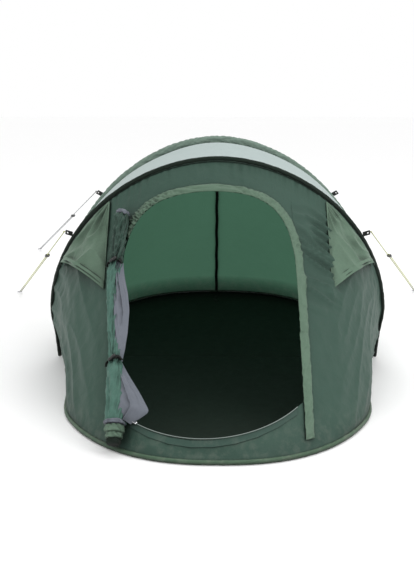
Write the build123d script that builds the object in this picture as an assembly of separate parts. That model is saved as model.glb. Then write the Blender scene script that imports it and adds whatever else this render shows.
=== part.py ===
from build123d import *
import math
import os
from bisect import bisect_right

"""Two-person pop up tent, standing open with its door rolled back.

Frame: +X to the tent's right seen from its door, +Y to the foot end, +Z up, millimetres.
The origin is on the ground, under the middle of the tent.

The spring frame is two hoops that cross at the side feet. Each half of a hoop lies in a plane
through the foot line, a line along X just above the ground, and the tent folds about that line.
A panel of fabric is a ruled surface between two of those half hoops. A place on a panel is (u, v):
u runs along the hoops from the left foot to the right, v from the lower hoop to the upper one.
"""

# ---- driving dimensions -------------------------------------------------------------------------
TENT_LENGTH = 2450.0
TENT_HEIGHT = 975.0
ARCH_LEAN = 66.2            # degrees between the rear ground hoop and the rear arch
ARCH_HALF_WIDTH = 745.0
ARCH_WIDEST_RADIUS = 220.0  # distance from the foot line at which an arch is widest
ARCH_ROUNDNESS = 1.9        # exponent of the arch's superellipse
GROUND_HALF_WIDTH = 700.0
GROUND_ROUNDNESS = 2.4
GROUND_WAIST = 45.0         # how far the sides of the ground hoop are drawn in
GROUND_WAIST_SPAN = 0.68    # part of the half length over which they are drawn in

SLEEVE_RADIUS = 9.0
SLEEVE_WALL = 1.0
ROD_RADIUS = 4.0
FERRULE_RADIUS = 5.5
FERRULE_LENGTH = 60.0
FERRULE_START = 12.0        # from the rod's end, along it
FIT_GAP = 0.05
FABRIC = 1.2
FLOOR_SHEET = 2.0
SEAM_GAP = 6.0              # room for the seam between a panel's edge and the sleeve it hangs from
TAB_GAP = 2.6               # air between a sleeve and the webbing stitched to it
LAYER_GAP = 3.5             # air between a panel and what is sewn over it

# Each half hoop meets the foot line in a lane of its own, so that they fold past one another.
LANE = {"front_arch": 725.0, "rear_arch": 705.0, "rear_ground": 685.0, "front_ground": 665.0}
LANE_END = 110.0            # distance from the foot line at which a half hoop leaves its lane
LANE_BLEND_END = 300.0

# The door, as fractions along and up the front wall
DOOR_LEFT = 0.364
DOOR_RIGHT = 0.605
DOOR_SPRING = 0.5           # v at which the door's top starts to round over
DOOR_TOP = 0.887
DOOR_ROUNDNESS = 4.0
SILL_LOW = 0.054
SILL_LOW_AT = 0.475
SILL_RISE = 6.2
FLAP_WIDTH_U = 0.013
FLAP_WIDTH_V = 0.027

# The vent hood on the left side of the front wall; the right one mirrors it
HOOD_TOP = (0.331, 0.955)
HOOD_INNER = (0.334, 0.588)
HOOD_OUTER = (0.222, 0.900)
HOOD_STAND_OFF = 46.0

# The rolled door panel, by its places up the front wall
ROLL_U = 0.358
ROLL_RADIUS = 23.0
ROLL_TOP_V = 0.885
ROLL_END_V = 0.115
TIE_V = (0.680, 0.315)
TIE_WIDTH = 12.0
TIE_THICKNESS = 2.0
TOGGLE_RADIUS = 5.0
TOGGLE_LENGTH = 32.0

CORD_DIAMETER = 4.0
STRAND_SPACING = 8.0
KNOT_RADIUS = 5.0
TAB_LENGTH = 34.0
TAB_WIDTH = 20.0
TAB_THICKNESS = 2.5
TAB_EYE_RADIUS = 4.0
TAB_LEAN_OUT = 1.4          # how much more a tab points away from its hoop than along its line
RUNNER_LENGTH = 50.0
RUNNER_WIDTH = 20.0
RUNNER_THICKNESS = 8.0
RUNNER_HOLE_RADIUS = 2.6
RUNNER_WINDOW = (20.0, 12.0)
RING_RADIUS = 13.0
RING_WIRE_RADIUS = 2.0
RING_HEIGHT = 8.5          # the ring leans with its line, and its low side touches the ground

# Guy lines: the hoop each hangs from, the place along it, and its ring's place on the ground
GUYS = {
    "guy_front_left": ("front_arch", 0.244, (-1130.0, 1198.0), 0.33),
    "guy_front_right": ("front_arch", 0.756, (1140.0, 1230.0), 0.33),
    "guy_rear_left": ("rear_arch", 0.281, (-1214.0, 2403.0), 0.34),
}
# Webbing tab with no line on it
SPARE_TABS = {"guy_tab_rear_right": ("rear_arch", 0.719, (1214.0, 2403.0))}

PEG_PLACES = {"side": 0.16, "corner": 0.27}
PEG_LOOP_LENGTH = 44.0
PEG_LOOP_WIDTH = 25.0
PEG_LOOP_THICKNESS = 2.5
PEG_HOLE_RADIUS = 5.0
GROMMET_RADIUS = 8.5
GROMMET_THICKNESS = 4.0

SLIDER_SIZE = (22.0, 12.0, 8.0)
COIL_RADIUS = 1.5
COIL_CLEARANCE = 0.5
PULL_LENGTH = 30.0
PULL_WIDTH = 7.0
PULL_THICKNESS = 1.6
PULL_PIN_RADIUS = 1.2

HOOP_POINTS = 19
WALL_COLUMNS = 15
PANEL_COLUMNS = 41
DOOR_COLUMNS = 10
PANEL_ROWS = 5
STRAIGHT = 1e-4             # half turns below this, in radians, are left out of a path

# ---- the frame's outline ------------------------------------------------------------------------
FOOT_HEIGHT = SLEEVE_RADIUS
LEAN = math.radians(ARCH_LEAN)
ARCH_RADIUS = (TENT_HEIGHT - 2 * SLEEVE_RADIUS) / math.sin(LEAN)
HOOP_ANGLE = {"rear_ground": 0.0, "rear_arch": LEAN, "front_arch": math.pi - LEAN, "front_ground": math.pi}


def smoothstep(value, low, high):
    """0 below low, 1 above high, an S curve between."""
    part = min(max((value - low) / (high - low), 0.0), 1.0)
    return part * part * (3 - 2 * part)


def arch_half_width(radius):
    """Half width of an arch's centre line at a distance from the foot line: a superellipse."""
    widest = ARCH_HALF_WIDTH - SLEEVE_RADIUS
    part = max(radius - ARCH_WIDEST_RADIUS, 0.0) / (ARCH_RADIUS - ARCH_WIDEST_RADIUS)
    return widest * max(1 - part**ARCH_ROUNDNESS, 0.0) ** (1 / ARCH_ROUNDNESS)


def ground_half_width(radius):
    """Half width of a ground hoop's centre line: a superellipse with its sides drawn in."""
    part = radius / (TENT_LENGTH / 2 - SLEEVE_RADIUS)
    width = (GROUND_HALF_WIDTH - SLEEVE_RADIUS) * max(1 - part**GROUND_ROUNDNESS, 0.0) ** (1 / GROUND_ROUNDNESS)
    waist = GROUND_WAIST * math.sin(math.pi * min(part / GROUND_WAIST_SPAN, 1.0)) ** 2
    return width - waist


class Hoop:
    """Half a hoop: a plane curve from the left foot to the right one, measured by its length."""

    SAMPLES = 160

    def __init__(self, name):
        self.name = name
        self.angle = HOOP_ANGLE[name]
        is_arch = "arch" in name
        reach = ARCH_RADIUS if is_arch else TENT_LENGTH / 2 - SLEEVE_RADIUS
        width = arch_half_width if is_arch else ground_half_width
        half = []
        for step in range(self.SAMPLES + 1):
            radius = reach * math.sin(math.pi / 2 * step / self.SAMPLES)
            mixed = smoothstep(radius, LANE_END, LANE_BLEND_END)
            half.append((LANE[name] * (1 - mixed) + width(radius) * mixed, radius))
        self.flat = [(-x, r) for x, r in half] + [(x, r) for x, r in reversed(half[:-1])]
        self.run = [0.0]
        for first, second in zip(self.flat, self.flat[1:]):
            self.run.append(self.run[-1] + math.dist(first, second))
        self.length = self.run[-1]

    def at(self, u):
        """The point a fraction u of the way along."""
        target = min(max(u, 0.0), 1.0) * self.length
        place = min(bisect_right(self.run, target), len(self.run) - 1)
        part = (target - self.run[place - 1]) / (self.run[place] - self.run[place - 1])
        (x0, r0), (x1, r1) = self.flat[place - 1], self.flat[place]
        x, radius = x0 + (x1 - x0) * part, r0 + (r1 - r0) * part
        return Vector(x, radius * math.cos(self.angle), FOOT_HEIGHT + radius * math.sin(self.angle))

    def along(self, u):
        """Unit direction of the curve at u."""
        step = 0.002
        return (self.at(min(u + step, 1.0)) - self.at(max(u - step, 0.0))).normalized()


HOOPS = {name: Hoop(name) for name in HOOP_ANGLE}


def rounded_path(points):
    """Straight runs joined by tangent arcs, each arc as large as its two runs allow."""
    edges = []
    start = points[0]
    for before, corner, after in zip(points, points[1:], points[2:]):
        incoming, outgoing = (corner - before).normalized(), (after - corner).normalized()
        half_turn = math.radians(incoming.get_angle(outgoing)) / 2
        reach = 0.45 * min((corner - before).length, (after - corner).length)
        if half_turn < STRAIGHT:
            continue
        radius = reach / math.tan(half_turn)
        middle = corner + (outgoing - incoming).normalized() * (radius / math.cos(half_turn) - radius)
        leave = corner + outgoing * reach
        edges.append(Line(start, corner - incoming * reach))
        edges.append(ThreePointArc(corner - incoming * reach, middle, leave))
        start = leave
    edges.append(Line(start, points[-1]))
    return Wire(edges)


def tube(points, radius, hole=0.0):
    """A round tube along straight runs joined by tangent arcs."""
    path = rounded_path(points)
    start = Plane(origin=path @ 0, z_dir=path % 0)
    body = sweep(start * Circle(radius), path)
    return body - sweep(start * Circle(hole), path) if hole else body


def hoop_points(name, first=0.0, last=1.0, count=HOOP_POINTS):
    """Evenly spaced points along a half hoop."""
    return [HOOPS[name].at(first + (last - first) * i / (count - 1)) for i in range(count)]


def ferrule(foot, inward):
    """The metal tube over a rod's end, on its first straight run."""
    along = (inward - foot).normalized()
    first = foot + along * FERRULE_START
    return tube([first, first + along * FERRULE_LENGTH], FERRULE_RADIUS, ROD_RADIUS + FIT_GAP)


# ---- panels of fabric ---------------------------------------------------------------------------
class Panel:
    """The ruled surface between two half hoops, stopping just short of both sleeves."""

    def __init__(self, lower, upper, outward):
        self.lower, self.upper, self.outward = HOOPS[lower], HOOPS[upper], outward

    def at(self, u, v, lift=0.0):
        """The point at (u, v), lifted off the surface to the outside."""
        low, high = self.lower.at(u), self.upper.at(u)
        margin = (SLEEVE_RADIUS + SEAM_GAP) / (high - low).length
        point = low + (high - low) * (margin + (1 - 2 * margin) * v)
        return point + self.normal(u, v) * lift if lift else point

    def normal(self, u, v):
        """Unit normal to the outside of the tent."""
        step = 0.004
        across = self.upper.at(u) - self.lower.at(u)
        along = self.at(min(u + step, 1.0), v) - self.at(max(u - step, 0.0), v)
        return along.cross(across).normalized() * self.outward


FRONT_WALL = Panel("front_ground", "front_arch", 1)
ROOF = Panel("front_arch", "rear_arch", 1)
REAR_WALL = Panel("rear_ground", "rear_arch", -1)
PANEL_START = 0.045
FLOOR_START = 0.0006
REAR_FLOOR_START = 0.0028  # leaves room for the front hoop, which ends above the rear floor when folded


def shell(grid, thickness, holes=()):
    """A closed sheet of flat triangles over a grid of (outer, inner) points; holes are cells left out."""
    rows, columns = len(grid), len(grid[0])
    cells = {(r, c) for r in range(rows - 1) for c in range(columns - 1)} - set(holes)
    faces = []

    def triangle(*corners):
        faces.append(Face(Wire.make_polygon(corners, close=True)))

    def quad(a, b, c, d):
        triangle(a, b, c)
        triangle(a, c, d)

    for r, c in sorted(cells):
        corner = [grid[r][c], grid[r][c + 1], grid[r + 1][c + 1], grid[r + 1][c]]
        quad(*[outer for outer, _ in corner])
        quad(*[inner for _, inner in corner])
        sides = [((r - 1, c), 0, 1), ((r, c + 1), 1, 2), ((r + 1, c), 2, 3), ((r, c - 1), 3, 0)]
        for neighbour, first, second in sides:
            if neighbour not in cells:
                quad(corner[first][0], corner[second][0], corner[second][1], corner[first][1])
    solid = Solid(Shell(faces))
    return solid if solid.volume > 0 else Solid(solid.wrapped.Reversed())


def sheet_on(panel, places, lift=0.0, thickness=FABRIC, holes=()):
    """A sheet that lies on a panel at rows of (u, v) places, lifted by a distance or by a function."""
    grid = []
    for row in places:
        line = []
        for u, v, *extra in row:
            height = lift + (extra[0] if extra else 0.0)
            line.append((panel.at(u, v, height + thickness), panel.at(u, v, height)))
        grid.append(line)
    return shell(grid, thickness, holes)


def spread(first, last, count):
    """Evenly spaced numbers from first to last."""
    return [first + (last - first) * i / (count - 1) for i in range(count)]


def sill(u):
    """v of the door's lower edge: a parabola."""
    return SILL_LOW + SILL_RISE * (u - SILL_LOW_AT) ** 2


def door_top(u, grow=0.0):
    """v of the door's upper edge: a superellipse over the door's width, grown by a fraction of u."""
    middle = (DOOR_LEFT + DOOR_RIGHT) / 2
    across = (u - middle) / ((DOOR_RIGHT - DOOR_LEFT) / 2 + grow)
    rise = DOOR_TOP - DOOR_SPRING + grow * FLAP_WIDTH_V / FLAP_WIDTH_U
    return DOOR_SPRING + rise * max(1 - abs(across) ** DOOR_ROUNDNESS, 0.0) ** (1 / DOOR_ROUNDNESS)


def door_columns(grow=0.0, count=DOOR_COLUMNS):
    """u from the door's left edge to its right, closer together where the top turns down."""
    middle, half = (DOOR_LEFT + DOOR_RIGHT) / 2, (DOOR_RIGHT - DOOR_LEFT) / 2 + grow
    return [middle - half * math.cos(math.pi * i / count) for i in range(count + 1)]


def front_wall():
    """The front wall, with the door left out of it."""
    left = spread(PANEL_START, DOOR_LEFT, WALL_COLUMNS)[:-1]
    right = spread(DOOR_RIGHT, 1 - PANEL_START, WALL_COLUMNS)[1:]
    columns = left + door_columns() + right
    rows = []
    for u in columns:
        near = min(max(u, DOOR_LEFT), DOOR_RIGHT)
        low, high = sill(near), door_top(near)
        levels = spread(0.0, low, 2)[:-1] + spread(low, high, PANEL_ROWS) + spread(high, 1.0, PANEL_ROWS)[1:]
        rows.append([(u, v) for v in levels])
    first = len(left)
    door_cells = [(r, c) for r in range(first, first + DOOR_COLUMNS) for c in range(1, PANEL_ROWS)]
    return sheet_on(FRONT_WALL, rows, holes=door_cells)


def whole_panel(panel):
    """A panel with no opening."""
    rows = [[(u, v) for v in spread(0.0, 1.0, PANEL_ROWS)] for u in spread(PANEL_START, 1 - PANEL_START, PANEL_COLUMNS)]
    return sheet_on(panel, rows)


def storm_flap():
    """The flap that covers the door's zip: over the top and down the right side to the ground hoop."""
    inner = [(u, door_top(u)) for u in door_columns()[2:]]
    outer = [(u, door_top(u, FLAP_WIDTH_U)) for u in door_columns(FLAP_WIDTH_U)[2:]]
    for v in spread(DOOR_SPRING, 0.03, 4)[1:]:
        inner.append((DOOR_RIGHT, v))
        outer.append((DOOR_RIGHT + FLAP_WIDTH_U, v))
    return sheet_on(FRONT_WALL, list(zip(inner, outer)), LAYER_GAP)


def mirrored(place, side):
    """A (u, v) place for the left side, or its mirror for the right."""
    return (place[0] if side == "left" else 1 - place[0], place[1])


def hood_place(side, across, down):
    """(u, v) on a vent hood: down runs from its top to its free edge, across from the door side out."""
    top, inner, outer = (mirrored(place, side) for place in (HOOD_TOP, HOOD_INNER, HOOD_OUTER))
    edge = [inner[i] + (outer[i] - inner[i]) * across for i in range(2)]
    return tuple(top[i] + (edge[i] - top[i]) * down for i in range(2))


def vent_hood(side):
    """A hood sewn along two sides, whose free lower edge stands off the wall."""
    rows = []
    for down in spread(0.06, 1.0, 5):
        row = []
        for across in spread(0.0, 1.0, 7):
            stand_off = HOOD_STAND_OFF * down**1.5 * math.sin(math.pi * across) ** 0.8
            row.append((*hood_place(side, across, down), stand_off))
        rows.append(row)
    return sheet_on(FRONT_WALL, rows, LAYER_GAP)


def vent_mesh(side):
    """The insect mesh behind a hood, lying on the wall."""
    rows = [[hood_place(side, across, down) for across in spread(0.2, 0.8, 4)] for down in spread(0.45, 0.85, 3)]
    return sheet_on(FRONT_WALL, rows, FABRIC + 1.8, 0.8)


def groundsheet(sign):
    """Half the floor, flat on the ground inside the ground hoop; its straight edge is at the foot line."""
    name = "rear_ground" if sign > 0 else "front_ground"
    inset = SLEEVE_RADIUS + SEAM_GAP
    start = REAR_FLOOR_START if sign > 0 else FLOOR_START
    edge = []
    for u in [start] + spread(0.012, 0.988, 31) + [1 - start]:
        point = HOOPS[name].at(u)
        inward = HOOPS[name].along(u).cross(Vector(0, 0, 1)) * sign
        edge.append(Vector(point.X, point.Y, 0) + inward * inset)
    return extrude(Face(Wire.make_polygon(edge, close=True)), FLOOR_SHEET, dir=(0, 0, 1))


# ---- door roll, ties and zip --------------------------------------------------------------------
def roll_axis(v, lift=0.0):
    """A point on the rolled door's axis, beside the door and clear of the wall."""
    return FRONT_WALL.at(ROLL_U, v, ROLL_RADIUS + TIE_THICKNESS + LAYER_GAP + 1.0 + lift)


def roll_tube(first_v, last_v, radius, hole=0.0, count=2):
    """A piece of the roll between two places up the wall."""
    return tube([roll_axis(v) for v in spread(first_v, last_v, count)], radius, hole)


def v_for_length(v, length):
    """The place up the wall a distance above v."""
    return v + length / (roll_axis(1.0) - roll_axis(0.0)).length


def door_lining(place):
    """The door's inner lining where it bulges out of the roll, above or below the lower tie."""
    beside = ROLL_U + 0.0105
    if place == "upper":
        levels = [(0.655, 0.002), (0.60, 0.010), (0.50, 0.016), (0.42, 0.015), (0.35, 0.006)]
    else:
        levels = [(0.295, 0.004), (0.25, 0.014), (0.19, 0.028), (0.145, 0.040), (0.115, 0.030)]
    rows = [[(beside + width * part, v) for part in (0.0, 0.5, 1.0)] for v, width in levels]
    return sheet_on(FRONT_WALL, rows, ROLL_RADIUS * 0.7, 3.0)


def zip_point(u, lift=0.0):
    """A point on the zip's line, just below the door's lower edge."""
    return FRONT_WALL.at(u, sill(u), lift)


ZIP_FIRST, ZIP_LAST = 0.400, 0.594
ZIP_LIFT = FABRIC + LAYER_GAP + 4.0
SLIDER_U = 0.401


def zip_circle():
    """Centre and unit axis of the circle through the zip line's two ends and its middle."""
    first, middle, last = (zip_point(u, ZIP_LIFT) for u in (ZIP_FIRST, (ZIP_FIRST + ZIP_LAST) / 2, ZIP_LAST))
    axis = (middle - first).cross(last - middle).normalized()
    a, b = middle - first, last - first
    cross = a.cross(b)
    centre = first + (cross.cross(a) * b.dot(b) + b.cross(cross) * a.dot(a)) * (1 / (2 * cross.dot(cross)))
    return centre, axis


ZIP_CENTRE, ZIP_AXIS = zip_circle()
ZIP_RADIUS = (zip_point(ZIP_FIRST, ZIP_LIFT) - ZIP_CENTRE).length


def zip_arc_point(u):
    """The place on the zip's circle nearest to the door's lower edge at u."""
    spoke = zip_point(u, ZIP_LIFT) - ZIP_CENTRE
    spoke = spoke - ZIP_AXIS * spoke.dot(ZIP_AXIS)
    return ZIP_CENTRE + spoke.normalized() * ZIP_RADIUS


def zip_coil():
    """The zip's teeth, a thin round coil along the door's lower edge."""
    ends = [zip_arc_point(u) for u in (ZIP_FIRST - 0.006, (ZIP_FIRST + ZIP_LAST) / 2, ZIP_LAST)]
    path = ThreePointArc(*ends)
    return sweep(Plane(origin=path @ 0, z_dir=path % 0) * Circle(COIL_RADIUS), path)


def zip_tape():
    """The tape that carries the teeth, lying on the wall below the door."""
    rows = [[(u, sill(u) - 0.024), (u, sill(u) - 0.004)] for u in spread(ZIP_FIRST - 0.006, ZIP_LAST, 9)]
    return sheet_on(FRONT_WALL, rows, FABRIC + 1.5, 1.0)


def slider_plane():
    """Where the slider sits: x along the zip, y outwards, z down the wall."""
    place = zip_arc_point(SLIDER_U)
    outward = (place - ZIP_CENTRE).normalized()
    return Plane(origin=place, x_dir=ZIP_AXIS.cross(outward), z_dir=ZIP_AXIS)


SLIDER = slider_plane()
PULL_PIVOT = SLIDER.from_local_coords(Vector(-4.0, SLIDER_SIZE[1] / 2 + 3.2, 0))


def zip_slider():
    """The slider's body with a tunnel for the teeth and a bridge that holds the pull's pin."""
    length, depth, height = SLIDER_SIZE
    body = fillet(Box(length, depth, height).edges(), 2.0)
    body -= Rot(0, 90, 0) * Cylinder(COIL_RADIUS + COIL_CLEARANCE, length * 2)
    for side in (-1, 1):
        body += Pos(-4.0, depth / 2 + 2.0, side * 3.0) * Box(6.0, 6.0, 1.6)
    body -= Pos(-4.0, depth / 2 + 3.2, 0) * Cylinder(PULL_PIN_RADIUS, height * 2)
    return SLIDER * body


def zip_pull():
    """The pull: a tongue with a rounded end and the pin it turns on."""
    pin = Cylinder(PULL_PIN_RADIUS - FIT_GAP, 7.6)
    tongue = Pos(-PULL_LENGTH / 2 - 1.0, 0, 0) * Box(PULL_LENGTH, PULL_THICKNESS, 3.6)
    handle = Pos(-PULL_LENGTH, 0, 0) * Rot(90, 0, 0) * Cylinder(PULL_WIDTH / 2, PULL_THICKNESS)
    hub = Cylinder(2.0, 3.6)
    return Plane(origin=PULL_PIVOT, x_dir=SLIDER.x_dir, z_dir=SLIDER.z_dir) * (pin + hub + tongue + handle)


# ---- guy lines and pegging points ---------------------------------------------------------------
class Guy:
    """The places of one guy line, from its webbing tab on a hoop to its ring on the ground."""

    def __init__(self, hoop, u, ring_place):
        self.root = HOOPS[hoop].at(u)
        self.hoop_along = HOOPS[hoop].along(u)
        self.ring = Vector(*ring_place, RING_HEIGHT)
        away = Vector(0, -math.sin(HOOPS[hoop].angle), math.cos(HOOPS[hoop].angle)).cross(self.hoop_along)
        self.outward = (away * TAB_LEAN_OUT + (self.ring - self.root).normalized()).normalized()
        self.knot = self.root + self.outward * (SLEEVE_RADIUS + TAB_GAP + TAB_LENGTH + KNOT_RADIUS + 1.0)
        self.along = (self.ring - self.knot).normalized()
        sideways = self.along.cross(Vector(0, 0, 1)).normalized()
        self.up = sideways.cross(self.along).normalized()

    def plane(self, point):
        """A plane whose x runs along the line and whose z is across it, upwards."""
        return Plane(origin=point, x_dir=self.along, z_dir=self.up)

    def runner_place(self, part):
        """Where the runner is held, a fraction of the way down the line."""
        return self.knot + (self.ring - self.knot) * part

    def strand(self, start, side):
        """A straight strand to the ring, on the line or beside it."""
        shift = self.along.cross(self.up) * STRAND_SPACING * side
        stop = self.ring - self.along * (RING_RADIUS - RING_WIRE_RADIUS)
        path = Line(start + shift, stop + shift)
        return sweep(Plane(origin=path @ 0, z_dir=path % 0) * Circle(CORD_DIAMETER / 2), path)


def guy_tab(guy):
    """A stitched webbing tab with an eye, standing out of the sleeve."""
    strap = Pos(TAB_LENGTH / 2, 0, 0) * Box(TAB_LENGTH, TAB_WIDTH, TAB_THICKNESS)
    strap -= Pos(TAB_LENGTH - 10.0, 0, 0) * Cylinder(TAB_EYE_RADIUS, TAB_THICKNESS * 2)
    start = guy.root + guy.outward * (SLEEVE_RADIUS + TAB_GAP)
    across = guy.hoop_along - guy.outward * guy.hoop_along.dot(guy.outward)
    return Plane(origin=start, x_dir=guy.outward, z_dir=guy.outward.cross(across)) * strap


def guy_runner(guy, part):
    """The runner: a stadium with a window and two holes along it for the strands."""
    middle_shift = -STRAND_SPACING / 2
    outline = Pos(0, middle_shift, 0) * SlotOverall(RUNNER_LENGTH, RUNNER_WIDTH)
    window = Pos(0, middle_shift, 0) * Rectangle(*RUNNER_WINDOW)
    body = extrude(outline - window, RUNNER_THICKNESS / 2, both=True)
    for side in (0.0, -STRAND_SPACING):
        body -= Pos(0, side, 0) * Rot(0, 90, 0) * Cylinder(RUNNER_HOLE_RADIUS, RUNNER_LENGTH * 2)
    return guy.plane(guy.runner_place(part)) * body


def guy_ring(guy):
    """The metal ring at the line's ground end."""
    return guy.plane(guy.ring + guy.along * RING_WIRE_RADIUS) * Torus(RING_RADIUS, RING_WIRE_RADIUS)


def peg_plane(place, side):
    """Where a pegging loop leaves the rear ground sleeve: x outwards, z up, flat on the ground."""
    u = PEG_PLACES[place] if side == "left" else 1 - PEG_PLACES[place]
    rim = HOOPS["rear_ground"].at(u)
    outward = Vector(0, 0, 1).cross(HOOPS["rear_ground"].along(u)).normalized()
    start = Vector(rim.X, rim.Y, 0) + outward * (SLEEVE_RADIUS + TAB_GAP)
    return Plane(origin=start, x_dir=outward, z_dir=(0, 0, 1))


def peg_loop(place, side):
    """A webbing loop for a ground peg, lying beside the rim."""
    lift = (GROMMET_THICKNESS - PEG_LOOP_THICKNESS) / 2
    strap = Pos(PEG_LOOP_LENGTH / 2, 0, lift + PEG_LOOP_THICKNESS / 2) * Box(
        PEG_LOOP_LENGTH, PEG_LOOP_WIDTH, PEG_LOOP_THICKNESS
    )
    strap -= Pos(PEG_LOOP_LENGTH - 13.0, 0, 0) * Cylinder(PEG_HOLE_RADIUS + 1.0 + FIT_GAP, 40.0)
    return peg_plane(place, side) * strap


def peg_grommet(place, side):
    """The brass eyelet in a pegging loop: a barrel with a rim above the webbing and one below."""
    lift = (GROMMET_THICKNESS - PEG_LOOP_THICKNESS) / 2
    rim = lift - FIT_GAP
    barrel = Pos(0, 0, GROMMET_THICKNESS / 2) * Cylinder(PEG_HOLE_RADIUS + 1.0, GROMMET_THICKNESS)
    below = Pos(0, 0, rim / 2) * Cylinder(GROMMET_RADIUS, rim)
    above = Pos(0, 0, GROMMET_THICKNESS - rim / 2) * Cylinder(GROMMET_RADIUS, rim)
    eyelet = barrel + below + above - Cylinder(PEG_HOLE_RADIUS, 40.0)
    return peg_plane(place, side) * Pos(PEG_LOOP_LENGTH - 13.0, 0, 0) * eyelet


# ---- every node ---------------------------------------------------------------------------------
def strip_rows(width):
    """(u, v) rows of a narrow strip down the middle of the rear wall."""
    half = width / 2 / HOOPS["rear_ground"].length
    return [[(0.5 - half, v), (0.5 + half, v)] for v in spread(0.985, 0.02, 5)]


def strip_tail():
    """The strip's loose end, lying on the floor in a shallow wave."""
    near, wave, width = TENT_LENGTH / 2 - 45.0, 6.0, 17.0
    grid = []
    for step in range(9):
        y, x = near - 25.0 * step, wave * math.sin(step)
        low = FLOOR_SHEET + 0.5
        grid.append([(Vector(x + side, y, low + FABRIC), Vector(x + side, y, low)) for side in (-width / 2, width / 2)])
    return shell(grid, FABRIC)


def build():
    """Every node by name."""
    nodes = {}
    for name in HOOPS:
        points = hoop_points(name)
        ends = [(points[0], points[1]), (points[-1], points[-2])]
        nodes[f"{name}_sleeve"] = tube(points, SLEEVE_RADIUS, SLEEVE_RADIUS - SLEEVE_WALL)
        nodes[f"{name}_rod"] = tube(points, ROD_RADIUS)
        nodes[f"{name}_ferrules"] = Compound([ferrule(*end) for end in ends])
    nodes["front_wall"] = front_wall()
    nodes["rear_wall"] = whole_panel(REAR_WALL)
    nodes["roof_panel"] = whole_panel(ROOF)
    nodes["groundsheet_front"] = groundsheet(-1)
    nodes["groundsheet_rear"] = groundsheet(1)
    nodes["storm_flap"] = storm_flap()
    for side in ("left", "right"):
        nodes[f"vent_hood_{side}"] = vent_hood(side)
        nodes[f"vent_mesh_{side}"] = vent_mesh(side)
    nodes["rear_wall_strip"] = sheet_on(REAR_WALL, strip_rows(17.0), -LAYER_GAP)
    nodes["strip_tail"] = strip_tail()

    nodes["door_roll"] = roll_tube(ROLL_END_V, ROLL_TOP_V, ROLL_RADIUS, count=5)
    nodes["door_lining_upper"] = door_lining("upper")
    nodes["door_lining_lower"] = door_lining("lower")
    nodes["door_hem"] = roll_tube(v_for_length(ROLL_END_V, -34.0), v_for_length(ROLL_END_V, -1.0), ROLL_RADIUS)
    nodes["storm_flap_end"] = roll_tube(0.035, v_for_length(ROLL_END_V, -36.0), ROLL_RADIUS * 0.9)
    for name, v in zip(("upper", "lower"), TIE_V):
        top = v_for_length(v, TIE_WIDTH)
        outer = ROLL_RADIUS + TIE_THICKNESS
        nodes[f"door_tie_{name}"] = roll_tube(v, top, outer, ROLL_RADIUS + FIT_GAP * 4)
        front = FRONT_WALL.normal(ROLL_U, v)
        middle = roll_axis(v_for_length(v, TIE_WIDTH / 2)) + front * (outer + TOGGLE_RADIUS + 0.4)
        toggle = Rot(0, 90, 0) * Cylinder(TOGGLE_RADIUS, TOGGLE_LENGTH)
        nodes[f"door_toggle_{name}"] = Plane(origin=middle, x_dir=(1, 0, 0), z_dir=front) * toggle

    nodes["zip_tape"] = zip_tape()
    nodes["zip_coil"] = zip_coil()
    nodes["zip_slider"] = zip_slider()
    nodes["zip_pull"] = zip_pull()

    for name, (hoop, u, ring_place, part) in GUYS.items():
        guy = Guy(hoop, u, ring_place)
        nodes[name.replace("guy_", "guy_tab_")] = guy_tab(guy)
        nodes[f"{name}_cord"] = guy.strand(guy.knot, 0)
        nodes[f"{name}_return"] = guy.strand(guy.runner_place(part) - guy.along * (RUNNER_LENGTH / 2 + 4), 1)
        nodes[f"{name}_knot"] = Pos(*guy.knot) * Sphere(KNOT_RADIUS)
        nodes[f"{name}_runner"] = guy_runner(guy, part)
        nodes[f"{name}_ring"] = guy_ring(guy)
    for name, (hoop, u, ring_place) in SPARE_TABS.items():
        nodes[name] = guy_tab(Guy(hoop, u, ring_place))

    places = [(place, side) for place in PEG_PLACES for side in ("left", "right")]
    nodes["peg_loops"] = Compound([peg_loop(place, side) for place, side in places])
    nodes["peg_grommets"] = Compound([peg_grommet(place, side) for place, side in places])
    return nodes


os.makedirs("parts", exist_ok=True)
for node, solid in build().items():
    export_step(solid, f"parts/{node}.step")
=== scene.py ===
"""A two-person pop up tent, standing open on a pale studio floor with its door rolled back.

The frame holds the rods, fittings and joints. This script dresses it: every panel of fabric is a
surface worked out over (u, v), where u runs along the spring hoops from the left foot to the right one and
v runs from the lower hoop of a panel to its upper one. Lengths are in metres.
"""

import logging
import math
from dataclasses import dataclass
from dataclasses import field

import bpy
import numpy as np
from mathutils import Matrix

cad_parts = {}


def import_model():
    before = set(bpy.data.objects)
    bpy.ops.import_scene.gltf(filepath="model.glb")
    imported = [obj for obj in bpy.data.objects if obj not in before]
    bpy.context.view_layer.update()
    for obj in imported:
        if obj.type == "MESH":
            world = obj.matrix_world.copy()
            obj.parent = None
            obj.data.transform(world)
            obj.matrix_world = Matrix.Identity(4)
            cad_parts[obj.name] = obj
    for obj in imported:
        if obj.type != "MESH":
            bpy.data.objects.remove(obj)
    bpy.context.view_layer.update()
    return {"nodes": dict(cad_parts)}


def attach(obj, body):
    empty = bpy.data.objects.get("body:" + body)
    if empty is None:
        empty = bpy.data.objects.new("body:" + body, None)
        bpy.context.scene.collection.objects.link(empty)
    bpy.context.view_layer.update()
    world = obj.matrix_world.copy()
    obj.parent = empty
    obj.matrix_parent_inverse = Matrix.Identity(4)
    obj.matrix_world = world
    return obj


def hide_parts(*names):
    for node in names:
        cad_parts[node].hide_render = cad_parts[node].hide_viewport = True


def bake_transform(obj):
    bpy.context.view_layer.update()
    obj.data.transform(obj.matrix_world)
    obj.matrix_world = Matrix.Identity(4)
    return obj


LOG = logging.getLogger("tent")
Array = np.ndarray
UP = np.array([0.0, 0.0, 1.0])


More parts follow.
